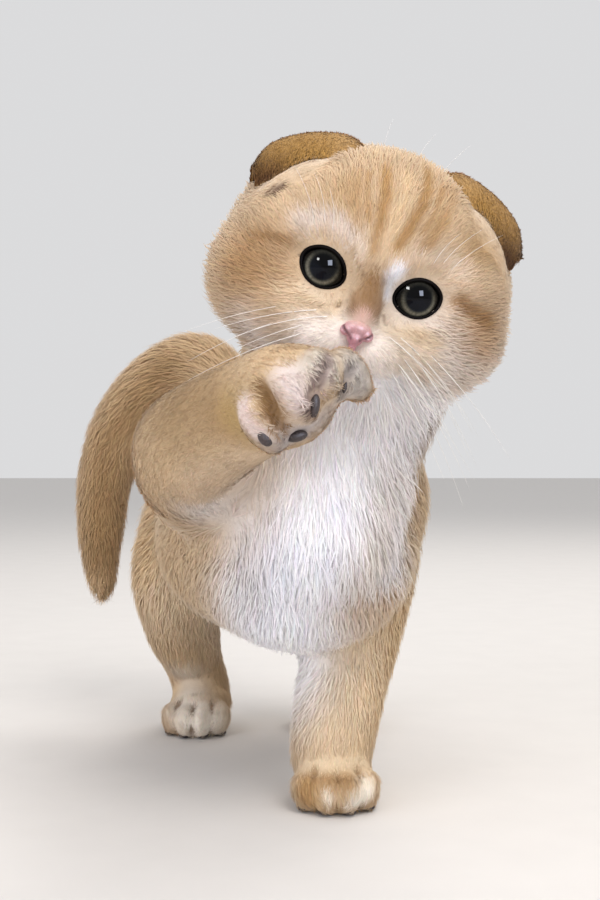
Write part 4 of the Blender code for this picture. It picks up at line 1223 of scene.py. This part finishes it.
def make_eye(side, look, edge):
    """An eyeball with a low dome for the cornea, and the bare edge of the lids round the almond between them.

    The dome is 0.35 mm times the squared cosine of the angle from the gaze, out to 40 degrees. The edge is a
    tube 0.36 mm thick, with 0.12 mm more along the upper lid and 0.16 mm more at the outer corner."""
    name = SIDES[side]
    spot = eye_spot(side)
    angle = np.linspace(0, math.pi, 42)[1:-1, None]
    round_it = angles(72)
    dome = np.where(angle < CORNEA_WIDE, np.cos(angle / CORNEA_WIDE * math.pi / 2) ** 2, 0)
    radius = EYE_RADIUS + CORNEA_HIGH * dome
    out, ahead = np.sin(angle) * radius, np.cos(angle) * radius
    grid = np.stack(np.broadcast_arrays(out * np.cos(round_it), -ahead, out * np.sin(round_it)), -1)
    ends = [put((0, depth, 0), spot) for depth in (-EYE_RADIUS - CORNEA_HIGH, EYE_RADIUS)]
    points, faces = outward(shell(put(grid, spot), *ends))
    local = seen_in(points, spot)
    flat = np.hypot(local[:, 0], local[:, 2])
    turn = local[:, [0, 2]] / np.maximum(flat, 1e-6)[:, None]
    made = piece(f"{name}_eyeball", (points, faces), look, stands_for=(f"{name}_eye",))
    disc = np.column_stack([turn * 1.1, np.where(local[:, 1] < 0, flat / EYE_RADIUS, 1.0)])
    fill(made.data.attributes.new("disc", "FLOAT_VECTOR", "POINT").data, "vector", disc)

    t = angles(96)
    flat = np.column_stack([FISSURE_WIDE * np.cos(t), FISSURE_HIGH * np.sin(t)]) * 1.04
    path = on_eye(flat * (1 + LID_CORNER * np.cos(t) ** 6)[:, None], EYE_RADIUS + 0.34)
    outer = np.clip(np.cos(t) * side, 0, 1) ** 8
    thick = 0.36 + 0.12 * np.clip(np.sin(t), 0, 1) + 0.16 * outer
    run = unit(np.roll(path, -1, 0) - np.roll(path, 1, 0))
    above = unit(path)
    across = np.cross(run, above)
    a = angles(10)[None, :, None]
    oval_ring = np.cos(a) * across[:, None] + 0.8 * np.sin(a) * above[:, None]
    rings = path[:, None] + thick[:, None, None] * oval_ring
    piece(f"{name}_lid_edge", outward(hoop(put(rings, spot))), edge)


NOSE_VOXEL = 0.22  # mm


def make_nose(look):
    """The nose: wings, ridge and the wedge down to the lip, fused, with two slanting nostrils pressed in and
    painted dark as shade inside them.
    """
    masses = [
        oval((0, -33.2, -14.0), (3.3, 2.7, 2.0), HEAD, 40),
        oval((2.5, -33.7, -15.0), (1.55, 1.9, 1.45), HEAD, 32),
        oval((-2.5, -33.7, -15.0), (1.55, 1.9, 1.45), HEAD, 32),
        oval((0, -33.9, -16.4), (1.9, 2.1, 1.7), HEAD, 32),
        oval((0, -33.6, -18.2), (0.95, 1.7, 2.0), HEAD, 32),
    ]
    points, faces, edges = fused(joined(masses), NOSE_VOXEL)
    points = relaxed(points, edges, SMOOTH, 10)
    normals = facing(points, faces)
    dark = np.full(len(points), 1e9)
    for side in SIDES:
        slit = put([(4.2 * side, -34.4, -13.8), (3.3 * side, -35.5, -15.2), (1.7 * side, -36.2, -16.4)], HEAD)
        points = pressed(points, normals, slit, 0.5, 1.1)
        dark = np.minimum(dark, gap_to(points + normals * 0.8, slit))
    local = seen_in(points, HEAD)
    tone = np.tile(srgb("#c99ba0"), (len(points), 1))
    tone = laid(tone, 0.8 * rise(-local[:, 2], 14.5, 17.5), "#b37a86")
    tone = laid(tone, 0.7 * rise(local[:, 2], -14.2, -12.2), "#d2b0a3")
    # painted shade: the nostril slits darkened as if shaded inside
    tone = laid(tone, 0.9 * fading(dark, 0.75), "#57242c")
    piece("nose_skin", (points, faces), look, stands_for=("nose",), tone=tone)


def make_pads(look):
    """Pads of the raised paw, and the edges of the pads that stand: low ovals in the frame of each paw."""
    raised = [oval((0, 0, 0), radii, posed(at, PAD_PITCH, roll), 30) for at, radii, roll in PADS]
    piece("raised_paw_pads", joined(raised), look)
    under = []
    for sole, share, long in PAWS:
        for across, ahead, _ in TOES:
            place = (across * share, ahead * long / PAW_LONG - 0.6, 1.05)
            under.append(oval(place, (2.1 * share, 2.7, 0.95), sole, 24))
        under.append(oval((0, 0.5, 1.3), (6.2 * share, 5.2, 1.2), sole, 28))
    piece("standing_pads", joined(under), look)


def make_whiskers(look):
    """Whiskers, brow hairs and three long hairs of the crown: each a tapered tube on a curve that droops.

    The curve is start + length (way t + sag t^2), and the radius falls as (1 - t)^0.7."""
    made = []
    steps = np.linspace(0, 1, 15)[:, None]
    taper = (1 - steps[:, 0]) ** 0.7
    for side, many in ((-1, 6), (1, 14)):
        for k, (x, y, z) in enumerate((WHISKER_ROOTS * 2)[:many]):
            start = np.array((x * side, y + 1.2, z))
            row = k % 8
            fan = (row % 3) - 1
            length = (27 + 5 * (row % 4)) * CHANCE.uniform(0.8, 1.1) * (1.0 if side > 0 else 0.8)
            back = 0.02 + 0.12 * (k % 2) + 0.1 * CHANCE.random()
            way = unit(np.array((side * (0.82 + 0.08 * fan), back, -0.32 - 0.16 * (row // 3) - 0.06 * fan)))
            sag = np.array((0.0, 0.22, -0.42)) * CHANCE.uniform(0.6, 1.2)
            path = start + length * (way * steps + sag * steps**2 * 0.55)
            made.append(pointed(put(path, HEAD), (0.085 * taper + 0.012) * (0.8 + 0.4 * CHANCE.random())))
        for k in range(3):
            start = np.array((side * (12.5 + 2.2 * k), -27.0 + 0.3 * k, 5.5 + (k % 2)))
            way = unit(np.array((side * (0.1 + 0.14 * k), -0.5, 0.9)))
            sag = np.array((side * 0.25, 0.35, -0.05))
            path = start + (11 + 2 * k) * (way * steps + sag * steps**2)
            made.append(pointed(put(path, HEAD), 0.05 * taper + 0.01))
    for x, lean in ((-6, -0.25), (2, 0.1), (9, 0.3)):
        way = unit(np.array((lean, -0.2, 1.0)))
        path = np.array((x, -14, 27.0)) + 9 * (way * steps + np.array((0.2, 0.1, 0)) * steps**2)
        made.append(pointed(put(path, HEAD), 0.045 * taper + 0.01))
    piece("whiskers", joined(made), look)


# Camera, light and floor

# name, azimuth and height in degrees, distance and sides in metres, watts, colour, whether gloss shows it
LAMPS = (
    ("key", 24, 52, 0.95, 0.6, 0.6, 6.5, "#fffaf4", False),
    ("fill", -50, 8, 1.1, 0.8, 0.7, 5.6, "#f3f5ff", False),
    ("back", 160, 48, 1.1, 0.6, 0.6, 4.5, "#fffaf4", False),
    ("pane", 29, 15, 0.9, 0.30, 0.38, 14.0, "#dfe8ff", True),
    ("small_pane", -33, 33, 0.9, 0.15, 0.15, 4.6, "#ffffff", True),
)
FLOOR_HALF = 4000.0  # mm


def lay_floor():
    """A square of pale matt paper under the kitten."""
    corners = np.array([(-1, -1, 0), (1, -1, 0), (1, 1, 0), (-1, 1, 0)]) * FLOOR_HALF
    mesh = new_mesh("floor", corners, np.array([(0, 1, 2, 3)]))
    levels = {"Roughness": 0.95}
    look = speckled("matt_backdrop_paper", levels, "#d9d6d3", "#d3d0cd", "Noise", 60.0, Detail=3.0)[0]
    mesh.materials.append(look)
    placed("floor", mesh)


def light_up():
    """An even pale surround, three soft lamps that no gloss shows, and two panes that only gloss shows."""
    world = bpy.data.worlds.new("surround")
    world.use_nodes = True
    back = world.node_tree.nodes["Background"]
    back.inputs["Color"].default_value = colour("#bebebf")
    back.inputs["Strength"].default_value = 1.38
    bpy.context.scene.world = world

    face = (put((0, -24, -2), HEAD) + SHIFT) * MM
    for name, azimuth, height, away, wide, tall, power, code, seen in LAMPS:
        lamp = bpy.data.lights.new(name, "AREA")
        lamp.shape, lamp.size, lamp.size_y = "RECTANGLE", wide, tall
        lamp.energy, lamp.color = power, srgb(code)
        made = placed(name, lamp)
        a, e = math.radians(azimuth), math.radians(height)
        way = np.array((math.sin(a) * math.cos(e), -math.cos(a) * math.cos(e), math.sin(e)))
        side = unit(np.cross((0, 0, 1), way))
        turn = np.stack([side, np.cross(way, side), way], 1)
        made.matrix_world = Matrix([*np.column_stack([turn, face + way * away]), (0, 0, 0, 1)])
        made.visible_glossy, made.visible_diffuse = seen, not seen
    bpy.context.scene.view_settings.view_transform = "Standard"


def photo_camera():
    """At the height of the chest, level, with the angle of view of a 51.6 mm lens on a 36 mm frame."""
    lens = bpy.data.cameras.new("camera")
    lens.sensor_width, lens.lens = 36, 51.6
    made = placed("camera", lens)
    made.location = (SHIFT + (0, -345, 94.8)) * MM
    made.rotation_euler = (math.pi / 2, 0, 0)
    bpy.context.scene.camera = made


photo_camera()
lay_floor()
light_up()
fur, skin, eye, lid = fur_look(), skin_look(), eye_look(), lid_look()
skin_points, skin_faces = make_skin()
flesh, tone = ("head", "neck", "torso", *LIMBS), markings(skin_points)
body = piece("skin", (skin_points, skin_faces), skin, stands_for=flesh, tone=tone)
lay_coat(skin_points, skin_faces, unwrap(body), fur)
for side in SIDES:
    make_ear(side, fur, skin)
    make_eye(side, eye, lid)
make_nose(nose_look())
make_pads(pad_look())
make_whiskers(whisker_look())
